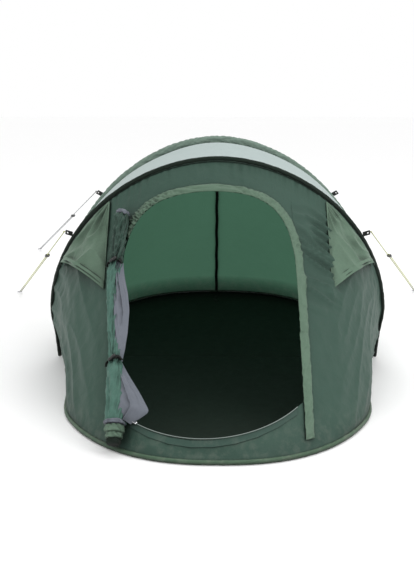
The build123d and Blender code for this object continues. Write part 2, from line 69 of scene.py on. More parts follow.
# ---- numbers and noise --------------------------------------------------------------------------
def smoothstep(value: Array, low: float, high: float) -> Array:
    """0 below low, 1 above high, and 3t^2 - 2t^3 between."""
    part = np.clip((value - low) / (high - low), 0.0, 1.0)
    return part * part * (3 - 2 * part)


def unit(vectors: Array) -> Array:
    """Vectors along the last axis, scaled to length one."""
    return vectors / np.maximum(np.linalg.norm(vectors, axis=-1, keepdims=True), 1e-12)


def gradient_noise(x: Array, y: Array, seed: int) -> Array:
    """Smooth noise from about -1 to 1: random slopes at whole numbers, blended by 6t^5 - 15t^4 + 10t^3.

    Args:
        x: first coordinate, one noise cell per unit.
        y: second coordinate.
        seed: picks the slopes, so each use repeats exactly.

    Returns:
        The noise at each place.
    """
    x, y = np.broadcast_arrays(np.asarray(x, float), np.asarray(y, float))
    source = np.random.default_rng(seed)
    order = source.permutation(256)
    slope = source.uniform(0, 2 * math.pi, 256)
    cell_x, cell_y = np.floor(x).astype(int), np.floor(y).astype(int)
    in_x, in_y = x - cell_x, y - cell_y

    def corner(dx: int, dy: int) -> Array:
        """The share of one corner of the cell."""
        pick = order[(order[(cell_x + dx) & 255] + cell_y + dy) & 255]
        return np.cos(slope[pick]) * (in_x - dx) + np.sin(slope[pick]) * (in_y - dy)

    mix_x = in_x**3 * (in_x * (in_x * 6 - 15) + 10)
    mix_y = in_y**3 * (in_y * (in_y * 6 - 15) + 10)
    near = corner(0, 0) * (1 - mix_x) + corner(1, 0) * mix_x
    far = corner(0, 1) * (1 - mix_x) + corner(1, 1) * mix_x
    return 1.5 * (near * (1 - mix_y) + far * mix_y)


def folds(x: Array, y: Array, seed: int) -> Array:
    """Sharp-crested folds: one minus the size of the noise, squared, from 0 to 1."""
    return (1 - np.abs(gradient_noise(x, y, seed))) ** 2


# ---- meshes -------------------------------------------------------------------------------------
def grid_faces(rows: int, columns: int, closed: bool) -> Array:
    """Corner numbers of the quads of a grid; closed joins the last column to the first."""
    r = np.arange(rows - 1)[:, None]
    c = np.arange(columns if closed else columns - 1)[None, :]
    after = (c + 1) % columns
    quads = [r * columns + c, r * columns + after, (r + 1) * columns + after, (r + 1) * columns + c]
    return np.stack(np.broadcast_arrays(*quads), axis=-1).reshape(-1, 4)


def make_object(name: str, points: Array, faces: list, uv: Array | None = None) -> bpy.types.Object:
    """A smooth mesh object at the origin.

    Args:
        name: the piece's name.
        points: (n, 3) places.
        faces: lists of corner numbers.
        uv: (n, 2) cloth coordinates in metres, or None.

    Returns:
        The new object, linked to the scene.
    """
    mesh = bpy.data.meshes.new(name)
    mesh.from_pydata(points.tolist(), [], faces)
    if uv is not None:
        corners = np.zeros(len(mesh.loops), np.int32)
        mesh.loops.foreach_get("vertex_index", corners)
        mesh.uv_layers.new(name="cloth").data.foreach_set("uv", uv[corners].astype(np.float32).ravel())
    mesh.shade_smooth()
    mesh.update()
    made = bpy.data.objects.new(name, mesh)
    bpy.context.scene.collection.objects.link(made)
    return made


def grid_object(
    name: str,
    points: Array,
    uv: Array | None = None,
    closed: bool = False,
    capped: bool = False,
    flip: bool = False,
    keep: Array | None = None,
) -> bpy.types.Object:
    """A surface over a grid of points.

    Args:
        name: the piece's name.
        points: (rows, columns, 3) places.
        uv: (rows, columns, 2) cloth coordinates in metres.
        closed: joins the last column to the first, as round a tube.
        capped: closes both ends of a tube.
        flip: turns the faces over.
        keep: (rows - 1, columns - 1) mask of the cells to keep.

    Returns:
        The new object.
    """
    rows, columns = points.shape[:2]
    quads = grid_faces(rows, columns, closed)
    if keep is not None:
        quads = quads[keep.ravel()]
    if flip:
        quads = quads[:, ::-1]
    faces = quads.tolist()
    if capped:
        first = list(range(columns))
        last = list(range((rows - 1) * columns, rows * columns))
        faces += [first, last[::-1]] if flip else [first[::-1], last]
    flat_uv = None if uv is None else uv.reshape(-1, 2)
    places = points.reshape(-1, 3)
    if keep is not None:
        used = np.unique(quads)
        renumber = np.zeros(len(places), int)
        renumber[used] = np.arange(len(used))
        faces = renumber[quads].tolist()
        places = places[used]
        flat_uv = None if flat_uv is None else flat_uv[used]
    return make_object(name, places, faces, flat_uv)


def thicken(piece: bpy.types.Object, thickness: float, inner_slot: int = 0) -> None:
    """Gives cloth its thickness, to the inside; inner_slot is the material slot step of the inner face."""
    solid = piece.modifiers.new("thickness", "SOLIDIFY")
    solid.thickness = thickness
    solid.offset = -1.0
    solid.material_offset = inner_slot


def frames_along(path: Array, hint: Array) -> tuple[Array, Array, Array]:
    """Unit directions along a path and two across it, the first as near to hint as it can be."""
    along = unit(np.gradient(path, axis=0))
    side = unit(hint - along * np.sum(hint * along, axis=-1, keepdims=True))
    return along, side, np.cross(along, side)


def tube_object(
    name: str,
    path: Array,
    hint: Array,
    half_width: Array,
    half_depth: Array,
    around: int = 24,
    relief: Array | None = None,
    squareness: float = 1.0,
) -> bpy.types.Object:
    """A tube of oval section carried along a path.

    Args:
        name: the piece's name.
        path: (n, 3) centre line.
        hint: (n, 3) direction of the section's width.
        half_width: (n,) or one number, along hint.
        half_depth: (n,) or one number, across it.
        around: corners of the section.
        relief: (n, around) lift of the skin.
        squareness: 1 for an ellipse, lower for a boxier section.

    Returns:
        The new object, capped at both ends.
    """
    _, side, across = frames_along(path, hint)
    angle = np.linspace(0, 2 * math.pi, around, endpoint=False)
    wide = np.sign(np.cos(angle)) * np.abs(np.cos(angle)) ** squareness
    deep = np.sign(np.sin(angle)) * np.abs(np.sin(angle)) ** squareness
    skin = np.zeros((len(path), around)) if relief is None else relief
    width = np.broadcast_to(half_width, len(path))[:, None] + skin
    depth = np.broadcast_to(half_depth, len(path))[:, None] + skin
    points = (
        path[:, None]
        + side[:, None] * (width * wide)[..., None]
        + across[:, None] * (depth * deep)[..., None]
    )
    run = np.concatenate([[0.0], np.cumsum(np.linalg.norm(np.diff(path, axis=0), axis=1))])
    girth = angle * np.mean(width)
    uv = np.stack(np.broadcast_arrays(run[:, None], girth[None, :]), axis=-1)
    return grid_object(name, points, uv, closed=True, capped=True, flip=True)


# ---- the tent's shape ---------------------------------------------------------------------------
@dataclass(frozen=True)
class TentShape:
    """The driving sizes that the spring frame is worked out from."""

    length: float = 2.45
    height: float = 0.975
    lean: float = math.radians(66.2)
    arch_half_width: float = 0.745
    arch_widest: float = 0.22
    arch_roundness: float = 1.9
    ground_half_width: float = 0.70
    ground_roundness: float = 2.4
    ground_waist: float = 0.045
    ground_waist_span: float = 0.68
    sleeve_radius: float = 0.009
    seam_gap: float = 0.006
    lane_end: float = 0.11
    lane_blend_end: float = 0.30
    lanes: dict = field(
        default_factory=lambda: {
            "front_arch": 0.725,
            "rear_arch": 0.705,
            "rear_ground": 0.685,
            "front_ground": 0.665,
        }
    )

    @property
    def angles(self) -> dict:
        """Each half hoop's angle from the ground behind the foot line."""
        return {
            "rear_ground": 0.0,
            "rear_arch": self.lean,
            "front_arch": math.pi - self.lean,
            "front_ground": math.pi,
        }


class Hoop:
    """Half a spring hoop: a plane curve from the left foot to the right one."""

    def __init__(self, shape: TentShape, name: str) -> None:
        """Samples the outline: a superellipse that ends in its own lane at the foot line."""
        self.name = name
        self.angle = shape.angles[name]
        tube = shape.sleeve_radius
        if "arch" in name:
            reach = (shape.height - 2 * tube) / math.sin(shape.lean)
            radius = reach * np.sin(np.linspace(0, math.pi / 2, 320))
            part = np.clip((radius - shape.arch_widest) / (reach - shape.arch_widest), 0, 1)
            power = shape.arch_roundness
            width = (shape.arch_half_width - tube) * (1 - part**power) ** (1 / power)
        else:
            reach = shape.length / 2 - tube
            radius = reach * np.sin(np.linspace(0, math.pi / 2, 320))
            part = radius / reach
            power = shape.ground_roundness
            width = (shape.ground_half_width - tube) * np.clip(1 - part**power, 0, 1) ** (1 / power)
            waist = np.clip(part / shape.ground_waist_span, 0, 1)
            width = width - shape.ground_waist * np.sin(math.pi * waist) ** 2
        mixed = smoothstep(radius, shape.lane_end, shape.lane_blend_end)
        x = shape.lanes[name] * (1 - mixed) + width * mixed
        self.x = np.concatenate([-x, x[::-1][1:]])
        self.radius = np.concatenate([radius, radius[::-1][1:]])
        run = np.concatenate([[0.0], np.cumsum(np.hypot(np.diff(self.x), np.diff(self.radius)))])
        self.length = float(run[-1])
        self.share = run / run[-1]
        self.foot_height = tube

    def at(self, u: Array) -> Array:
        """Places a fraction u of the way along."""
        u = np.clip(u, 0.0, 1.0)
        x, radius = np.interp(u, self.share, self.x), np.interp(u, self.share, self.radius)
        y, z = radius * math.cos(self.angle), self.foot_height + radius * math.sin(self.angle)
        return np.stack([x, y, z], axis=-1)

    def along(self, u: Array) -> Array:
        """Unit direction of the curve at u."""
        step = 0.002
        return unit(self.at(np.clip(u + step, 0, 1)) - self.at(np.clip(u - step, 0, 1)))

    @property
    def plane_normal(self) -> Array:
        """Unit normal of the hoop's plane, towards the next hoop up from the rear ground."""
        return np.array([0.0, -math.sin(self.angle), math.cos(self.angle)])

    def outward(self, u: Array) -> Array:
        """Unit direction away from the tent in the hoop's plane."""
        return unit(np.cross(self.plane_normal, self.along(u)))


class Panel:
    """The ruled surface between two half hoops."""

    def __init__(self, shape: TentShape, lower: Hoop, upper: Hoop, outward: int) -> None:
        """outward is 1 where along x up points out of the tent, and -1 where it points in."""
        self.lower, self.upper, self.sign = lower, upper, outward
        self.margin = shape.sleeve_radius + shape.seam_gap

    def span(self, u: Array) -> Array:
        """Distance between the two hoops at u."""
        return np.linalg.norm(self.upper.at(u) - self.lower.at(u), axis=-1)

    def edge_v(self, u: Array, inset: float) -> Array:
        """The v, below 0, at which the surface is inset from the lower hoop's centre line."""
        span = self.span(u)
        return -(self.margin - inset) / np.maximum(span - 2 * self.margin, 1e-4)

    def flat(self, u: Array, v: Array) -> Array:
        """The place at (u, v) on the straight line between the hoops."""
        low, high = self.lower.at(u), self.upper.at(u)
        margin = (self.margin / np.maximum(np.linalg.norm(high - low, axis=-1), 1e-6))[..., None]
        return low + (high - low) * (margin + (1 - 2 * margin) * v[..., None])

    def normal(self, u: Array, v: Array) -> Array:
        """Unit normal to the outside."""
        step = 0.004
        along = self.flat(np.minimum(u + step, 1.0), v) - self.flat(np.maximum(u - step, 0.0), v)
        return unit(np.cross(along, self.upper.at(u) - self.lower.at(u))) * self.sign

    def at(self, u: Array, v: Array, lift: Array | float = 0.0) -> Array:
        """The place at (u, v), lifted off the surface to the outside."""
        u, v = np.broadcast_arrays(np.asarray(u, float), np.asarray(v, float))
        lift = np.broadcast_to(np.asarray(lift, float), u.shape)
        return self.flat(u, v) + self.normal(u, v) * lift[..., None]

    def cloth(self, u: Array, v: Array) -> tuple[Array, Array]:
        """Cloth coordinates in metres: along the lower hoop, and up from it."""
        return (u - 0.5) * self.lower.length, v * self.span(u)


SHAPE = TentShape()
HOOPS = {name: Hoop(SHAPE, name) for name in SHAPE.angles}
FRONT = Panel(SHAPE, HOOPS["front_ground"], HOOPS["front_arch"], 1)
ROOF = Panel(SHAPE, HOOPS["front_arch"], HOOPS["rear_arch"], 1)
REAR = Panel(SHAPE, HOOPS["rear_ground"], HOOPS["rear_arch"], -1)


@dataclass(frozen=True)
class DoorShape:
    """The door, as fractions along and up the front wall."""

    left: float = 0.364
    right: float = 0.605
    spring: float = 0.5
    top: float = 0.887
    roundness: float = 4.0
    sill_low: float = 0.054
    sill_low_at: float = 0.475
    sill_rise: float = 6.2
    flap_u: float = 0.013
    flap_v: float = 0.027

    def sill(self, u: Array) -> Array:
        """v of the lower edge: a parabola."""
        return self.sill_low + self.sill_rise * (u - self.sill_low_at) ** 2

    def head(self, u: Array, grow: float = 0.0) -> Array:
        """v of the upper edge: a superellipse over the door's width, grown by a fraction of u."""
        across = (u - (self.left + self.right) / 2) / ((self.right - self.left) / 2 + grow)
        rise = self.top - self.spring + grow * self.flap_v / self.flap_u
        return self.spring + rise * np.clip(1 - np.abs(across) ** self.roundness, 0, 1) ** (1 / self.roundness)


DOOR = DoorShape()


def follow_fabric(piece: bpy.types.Object, lower: str, upper: str, share: Array) -> None:
    """Bakes a piece's transform into its mesh; it works out the middle points of the two bodies' hoops but does
    not use them.

    Args:
        piece: a finished mesh at the origin.
        lower: the body of the panel's lower hoop.
        upper: the body of its upper hoop.
        share: one number for each vertex, in the mesh's order, 0 on the lower hoop and 1 on the upper; not
            used.
    """
    ends = {"front_base": "front_ground", "front_arch": "front_arch", "rear_arch": "rear_arch"}
    ends["rear_base"] = "rear_ground"
    start, stop = (HOOPS[ends[body]].at(np.array(0.5)).tolist() for body in (lower, upper))
    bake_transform(piece)


def dress(piece: bpy.types.Object, *finishes: bpy.types.Material) -> bpy.types.Object:
    """Gives a piece its materials, in slot order."""
    piece.data.materials.clear()
    for finish in finishes:
        piece.data.materials.append(finish)
    return piece


# ---- finishes -----------------------------------------------------------------------------------
class Graph:
    """Short ways to add and join nodes in one node tree."""

    def __init__(self, tree: bpy.types.NodeTree) -> None:
        """tree is a material's node tree or a node group."""
        self.tree = tree

    def add(self, kind: str, links: dict | None = None, **settings: object) -> bpy.types.Node:
        """Adds a node.

        Args:
            kind: the node's bl_idname without its "ShaderNode" start.
            links: what goes into each input: a socket to join, or a constant.
            settings: the node's own properties.

        Returns:
            The new node.
        """
        node = self.tree.nodes.new("ShaderNode" + kind)
        for name, value in settings.items():
            setattr(node, name, value)
        for name, value in (links or {}).items():
            if isinstance(value, bpy.types.NodeSocket):
                self.tree.links.new(value, node.inputs[name])
            else:
                node.inputs[name].default_value = value
        return node

    def math(self, operation: str, first: object, second: object = 0.0) -> bpy.types.NodeSocket:
        """One step of arithmetic on values."""
        return self.add("Math", {0: first, 1: second}, operation=operation).outputs[0]

    def ramp(self, value: object, low: float, high: float) -> bpy.types.NodeSocket:
        """0 below low and 1 above high, smooth between."""
        links = {"Value": value, "From Min": low, "From Max": high}
        return self.add("MapRange", links, interpolation_type="SMOOTHSTEP").outputs[0]

    def mix(self, share: object, first: object, second: object, blend: str = "MIX") -> bpy.types.NodeSocket:
        """A mix of two colours."""
        node = self.add("Mix", data_type="RGBA", blend_type=blend)
        for socket, value in ((node.inputs[0], share), (node.inputs[6], first), (node.inputs[7], second)):
            if isinstance(value, bpy.types.NodeSocket):
                self.tree.links.new(value, socket)
            else:
                socket.default_value = value
        return node.outputs[2]


def shared_group(name: str, inputs: dict, outputs: dict) -> tuple[bpy.types.NodeTree, Graph, object, object]:
    """Starts a node group.

    Args:
        name: the group's name.
        inputs: socket name to (type, default).
        outputs: socket name to type.

    Returns:
        The group, its graph, its input node and its output node.
    """
    group = bpy.data.node_groups.new(name, "ShaderNodeTree")
    for label, (kind, default) in inputs.items():
        socket = group.interface.new_socket(name=label, in_out="INPUT", socket_type="NodeSocket" + kind)
        if default is not None:
            socket.default_value = default
    for label, kind in outputs.items():
        group.interface.new_socket(name=label, in_out="OUTPUT", socket_type="NodeSocket" + kind)
    graph = Graph(group)
    return group, graph, group.nodes.new("NodeGroupInput"), group.nodes.new("NodeGroupOutput")


def cloth_group() -> bpy.types.NodeTree:
    """The look of thin coated cloth: tone drift, creases, a fine weave, dust along the ground and painted shade
    in hollows.

    Inputs are the base colour, the tone drift, the depth of the small creases, the roughness of the coating,
    the dust and the power of the painted shade. Outputs are a colour with the dust and painted shade in it, a
    roughness and a normal.
    """
    inputs = {
        "Color": ("Color", None),
        "Tone": ("Float", 0.08),
        "Crease": ("Float", 0.3),
        "Roughness": ("Float", 0.55),
        "Dust": ("Float", 0.2),
        "Hollow": ("Float", 1.6),
    }
    outputs = {"Color": "Color", "Roughness": "Float", "Normal": "Vector"}
    group, g, entry, result = shared_group("coated_cloth", inputs, outputs)
    place = g.add("TexCoord").outputs["Object"]
    broad = g.add("TexNoise", {"Vector": place, "Scale": 3.0, "Detail": 3.0, "Roughness": 0.55}).outputs["Fac"]
    fine = g.add("TexNoise", {"Vector": place, "Scale": 26.0, "Detail": 5.0, "Roughness": 0.6}).outputs["Fac"]
    crumple = g.add(
        "TexNoise", {"Vector": place, "Scale": 13.0, "Detail": 4.0, "Roughness": 0.5, "Distortion": 0.5}
    ).outputs["Fac"]
    weave = g.add("TexVoronoi", {"Vector": place, "Scale": 900.0}).outputs["Distance"]
    drift = g.math(
        "SUBTRACT", g.math("ADD", g.math("MULTIPLY", broad, 1.2), g.math("MULTIPLY", fine, 0.8)), 1.0
    )
    shade = g.math("ADD", 1.0, g.math("MULTIPLY", drift, entry.outputs["Tone"]))
    grey = g.add("CombineColor", {0: shade, 1: shade, 2: shade}).outputs[0]
    tinted = g.mix(1.0, entry.outputs["Color"], grey, "MULTIPLY")
    height = g.add("SeparateXYZ", {0: place}).outputs["Z"]
    low = g.math("SUBTRACT", 1.0, g.ramp(height, 0.0, 0.16))
    dust = g.math("MULTIPLY", g.math("MULTIPLY", low, g.ramp(fine, 0.42, 0.7)), entry.outputs["Dust"])
    # painted shade: the ambient occlusion node darkens the colour in creases, under the sleeves and between
    # parts
    near = g.add("AmbientOcclusion", {"Distance": 0.12}, samples=6).outputs["AO"]
    painted_shade = g.math("ADD", 0.2, g.math("MULTIPLY", g.math("POWER", near, entry.outputs["Hollow"]), 0.8))
    shadow = g.add("CombineColor", {0: painted_shade, 1: painted_shade, 2: painted_shade}).outputs[0]
    dust_and_painted_shade = g.mix(1.0, g.mix(dust, tinted, (0.30, 0.30, 0.26, 1.0)), shadow, "MULTIPLY")
    lift = g.math("ADD", g.math("MULTIPLY", crumple, 0.8), g.math("MULTIPLY", fine, 0.25))
    first = g.add("Bump", {"Strength": entry.outputs["Crease"], "Distance": 0.02, "Height": lift}).outputs[0]
    normal = g.add("Bump", {"Strength": 0.08, "Distance": 0.0006, "Height": weave, "Normal": first}).outputs[0]
    rough = g.math("ADD", entry.outputs["Roughness"], g.math("MULTIPLY", g.math("SUBTRACT", fine, 0.5), 0.18))
    links = g.tree.links
    links.new(dust_and_painted_shade, result.inputs["Color"])
    links.new(rough, result.inputs["Roughness"])
    links.new(normal, result.inputs["Normal"])
    return group


def hard_group() -> bpy.types.NodeTree:
    """The look of small hard parts: scuffs, fine grain and a little dirt in patches."""
    inputs = {"Color": ("Color", None), "Roughness": ("Float", 0.4), "Wear": ("Float", 0.2)}
    outputs = {"Color": "Color", "Roughness": "Float", "Normal": "Vector"}
    group, g, entry, result = shared_group("small_hard_part", inputs, outputs)
    place = g.add("TexCoord").outputs["Object"]
    grain = g.add("TexNoise", {"Vector": place, "Scale": 240.0, "Detail": 4.0}).outputs["Fac"]
    patch = g.add("TexNoise", {"Vector": place, "Scale": 45.0, "Detail": 3.0}).outputs["Fac"]
    scuff = g.math("MULTIPLY", g.ramp(patch, 0.45, 0.75), entry.outputs["Wear"])
    tone = g.mix(scuff, entry.outputs["Color"], (0.20, 0.20, 0.18, 1.0))
    rough = g.math("ADD", entry.outputs["Roughness"], g.math("MULTIPLY", g.math("SUBTRACT", grain, 0.5), 0.3))
    normal = g.add("Bump", {"Strength": 0.15, "Distance": 0.0005, "Height": grain}).outputs[0]
    g.tree.links.new(tone, result.inputs["Color"])
    g.tree.links.new(rough, result.inputs["Roughness"])
    g.tree.links.new(normal, result.inputs["Normal"])
    return group


@dataclass(frozen=True)
class Finish:
    """One material: a slot of the record and how it looks."""

    name: str
    color: tuple
    cloth: bool = True
    roughness: float = 0.55
    tone: float = 0.10
    crease: float = 0.30
    dust: float = 0.15
    metallic: float = 0.0
    wear: float = 0.2
    sheen: float = 0.04
    through: float = 0.0
    outside: tuple | None = None
    # power of the painted shade: the ambient occlusion that darkens the cloth colour is raised to it
    painted_shade: float = 1.6
    slot: str = ""


def srgb(red: int, green: int, blue: int) -> tuple:
    """A linear colour from 8-bit display values."""
    part = [value / 255 for value in (red, green, blue)]
    return tuple(p / 12.92 if p <= 0.04045 else ((p + 0.055) / 1.055) ** 2.4 for p in part) + (1.0,)


class Wardrobe:
    """Every material of the tent, built once and handed out by name."""

    FINISHES = (
        Finish("wall", srgb(56, 82, 71), crease=0.4, tone=0.16, through=0.10),
        # the rear wall's inner face is painted lighter than its outer face: painted light, a glow of light
        # shining through the cloth, on top of its translucency
        Finish("wall_inside", srgb(73, 112, 91), crease=0.25, tone=0.10, through=0.6,
               outside=srgb(58, 84, 73), slot="wall"),
        Finish("roof", srgb(184, 200, 198), roughness=0.45, crease=0.3, tone=0.06, through=0.30),
        # the light panels take a stronger painted shade, darkest where the vent hoods run in under the sleeve
        Finish("light_panel", srgb(90, 114, 96), crease=0.55, tone=0.2, painted_shade=2.6),
        Finish("rim", srgb(76, 101, 80), crease=0.3, tone=0.2, dust=0.2),
        Finish("sleeve_dark", srgb(14, 29, 20), roughness=0.75, crease=0.35, tone=0.25, sheen=0.0),
        # the grey sleeve takes a weaker painted shade
        Finish("sleeve_grey", srgb(112, 132, 120), crease=0.9, painted_shade=1.0, tone=0.2),
        Finish("lining", srgb(106, 111, 120), crease=0.4, tone=0.14),
        Finish("door", srgb(72, 108, 96), crease=0.6, tone=0.3),
        # a darker copy of the door cloth for the roll above the upper tie: painted shade
        Finish("door_dark", srgb(48, 72, 62), roughness=0.42, crease=0.8, tone=0.4, slot="door"),
        Finish("floor", srgb(19, 32, 24), roughness=0.7, crease=0.12, tone=0.12, dust=0.0, sheen=0.0),
        Finish("webbing", srgb(26, 30, 27), roughness=0.8, crease=0.2, tone=0.2, sheen=0.0),
        Finish("cord_yellow", srgb(196, 200, 138), roughness=0.8, crease=0.1, tone=0.2, dust=0.0),
        Finish("cord_grey", srgb(158, 160, 162), roughness=0.8, crease=0.1, tone=0.2, dust=0.0),
        Finish("rod", (0.08, 0.08, 0.08, 1), cloth=False, roughness=0.35, wear=0.3),
        Finish("ferrule", (0.52, 0.52, 0.54, 1), cloth=False, roughness=0.32, metallic=1.0, wear=0.25),
        Finish("brass", (0.60, 0.46, 0.20, 1), cloth=False, roughness=0.3, metallic=1.0),
        Finish("black_plastic", srgb(24, 26, 25), cloth=False, roughness=0.42, wear=0.15),
        Finish("zip_teeth", srgb(122, 132, 128), cloth=False, roughness=0.5, wear=0.1),
        Finish("zip_tape", srgb(52, 76, 67), crease=0.2, slot="zip_teeth"),
        Finish("zip_metal", (0.78, 0.78, 0.80, 1), cloth=False, roughness=0.18, metallic=1.0, wear=0.1),
    )

    def __init__(self) -> None:
        """Builds the shared groups and then each finish."""
        cloth, hard = cloth_group(), hard_group()
        self.made = {f.name: self.build(f, cloth if f.cloth else hard) for f in self.FINISHES}
        self.made["mesh"] = self.insect_mesh()
        self.slots = {f.name: f.slot or f.name for f in self.FINISHES} | {"mesh": "mesh"}

    def build(self, finish: Finish, group: bpy.types.NodeTree) -> bpy.types.Material:
        """One material from its finish."""
        material = bpy.data.materials.new(finish.name)
        material.use_nodes = True
        material.node_tree.nodes.clear()
        g = Graph(material.node_tree)
        look = g.add("Group")
        look.node_tree = group
        look.inputs["Color"].default_value = finish.color
        look.inputs["Roughness"].default_value = finish.roughness
        if finish.cloth:
            look.inputs["Tone"].default_value = finish.tone
            look.inputs["Crease"].default_value = finish.crease
            look.inputs["Dust"].default_value = finish.dust
            look.inputs["Hollow"].default_value = finish.painted_shade
        else:
            look.inputs["Wear"].default_value = finish.wear
        through: object = finish.through
        # the back face gets the finish's own colour and more translucency; for wall_inside that lighter colour
        # is painted light
        if finish.outside:
            inside = g.add("NewGeometry").outputs["Backfacing"]
            tint = g.mix(inside, finish.outside, finish.color)
            g.tree.links.new(tint, look.inputs["Color"])
            through = g.math("ADD", 0.2, g.math("MULTIPLY", inside, finish.through - 0.2))
        links = {
            "Base Color": look.outputs["Color"],
            "Roughness": look.outputs["Roughness"],
            "Normal": look.outputs["Normal"],
            "Metallic": finish.metallic,
        }
        if finish.cloth:
            links |= {"Sheen Weight": finish.sheen, "Sheen Roughness": 0.4, "Specular IOR Level": 0.25}
        surface = g.add("BsdfPrincipled", links).outputs[0]
        if finish.through > 0:
            glow = g.add("BsdfTranslucent", {"Color": look.outputs["Color"], "Normal": look.outputs["Normal"]})
            surface = g.add("MixShader", {0: through, 1: surface, 2: glow.outputs[0]}).outputs[0]
        g.add("OutputMaterial", {"Surface": surface})
        return material

    def insect_mesh(self) -> bpy.types.Material:
        """Fine netting, see-through between its threads."""
        material = bpy.data.materials.new("mesh")
        material.use_nodes = True
        material.node_tree.nodes.clear()
        g = Graph(material.node_tree)
        place = g.add("TexCoord").outputs["UV"]
        part = g.add("SeparateXYZ", {0: place})
        across = g.math("FRACT", g.math("MULTIPLY", part.outputs["X"], 450.0))
        down = g.math("FRACT", g.math("MULTIPLY", part.outputs["Y"], 450.0))
        thread = g.math("MAXIMUM", g.math("GREATER_THAN", across, 0.55), g.math("GREATER_THAN", down, 0.55))
        surface = g.add(
            "BsdfPrincipled", {"Base Color": srgb(30, 38, 33), "Roughness": 0.7, "Alpha": thread}
        ).outputs[0]
        g.add("OutputMaterial", {"Surface": surface})
        return material

    def __getitem__(self, name: str) -> bpy.types.Material:
        """The material of that name."""
        return self.made[name]

    def wear(self, piece: bpy.types.Object, name: str, *others: str) -> bpy.types.Object:
        """Puts finishes on a piece."""
        dress(piece, self.made[name], *[self.made[other] for other in others])
        return piece


# ---- studio -------------------------------------------------------------------------------------
class Studio:
    """A pale floor, a white world, soft lamps and the camera that looks at the door."""

    CAMERA_PLACE = (-0.019, -4.5, 1.447)
    CAMERA_TILT = 90 - 13.96
    CAMERA_TURN = 0.35
    LENS = 63.93

    def build(self) -> None:
        """Sets up the camera, the floor and the light."""
        scene = bpy.context.scene
        lens = bpy.data.cameras.new("camera")
        lens.lens, lens.sensor_width, lens.sensor_fit = self.LENS, 36.0, "AUTO"
        camera = bpy.data.objects.new("camera", lens)
        camera.location = self.CAMERA_PLACE
        camera.rotation_euler = (math.radians(self.CAMERA_TILT), 0.0, math.radians(self.CAMERA_TURN))
        scene.collection.objects.link(camera)
        scene.camera = camera
        scene.view_settings.view_transform = "Standard"
        world = bpy.data.worlds.new("studio")
        world.use_nodes = True
        world.node_tree.nodes["Background"].inputs[0].default_value = (1.0, 1.0, 1.0, 1.0)
        world.node_tree.nodes["Background"].inputs[1].default_value = 1.0
        scene.world = world
        side = 14.0
        corners = np.array(
            [[-side, -side, -0.0004], [side, -side, -0.0004], [side, side, -0.0004], [-side, side, -0.0004]]
        )
        floor = make_object("studio_floor", corners, [[0, 1, 2, 3]])
        paint = bpy.data.materials.new("studio_floor")
        paint.use_nodes = True
        shader = paint.node_tree.nodes["Principled BSDF"]
        shader.inputs["Base Color"].default_value = (0.98, 0.98, 0.98, 1)
        shader.inputs["Roughness"].default_value = 0.9
        dress(floor, paint)
        lamps = [
            self.lamp("key", (2.8, -2.6, 3.6), 1.8, 42.0),
            self.lamp("top", (0.3, 1.0, 4.4), 2.4, 40.0),
        ]

    def lamp(self, name: str, place: tuple, size: float, power: float) -> bpy.types.Object:
        """A square area lamp aimed at the middle of the tent."""
        light = bpy.data.lights.new(name, "AREA")
        light.size, light.energy = size, power
        made = bpy.data.objects.new(name, light)
        made.location = place
        aim = np.array([0.0, 0.0, 0.4]) - np.array(place)
        pitch = math.atan2(math.hypot(aim[0], aim[1]), -aim[2])
        made.rotation_euler = (pitch, 0.0, math.atan2(aim[1], aim[0]) - math.pi / 2)
        bpy.context.scene.collection.objects.link(made)
        return made


# ---- guy lines ----------------------------------------------------------------------------------
@dataclass(frozen=True)
class GuyLine:
    """One guy line: where it starts on a hoop and where its ring lies on the ground."""

    name: str
    hoop: str
    u: float
    ring: tuple
    runner_part: float
    finish: str
    slant: float = 0.0


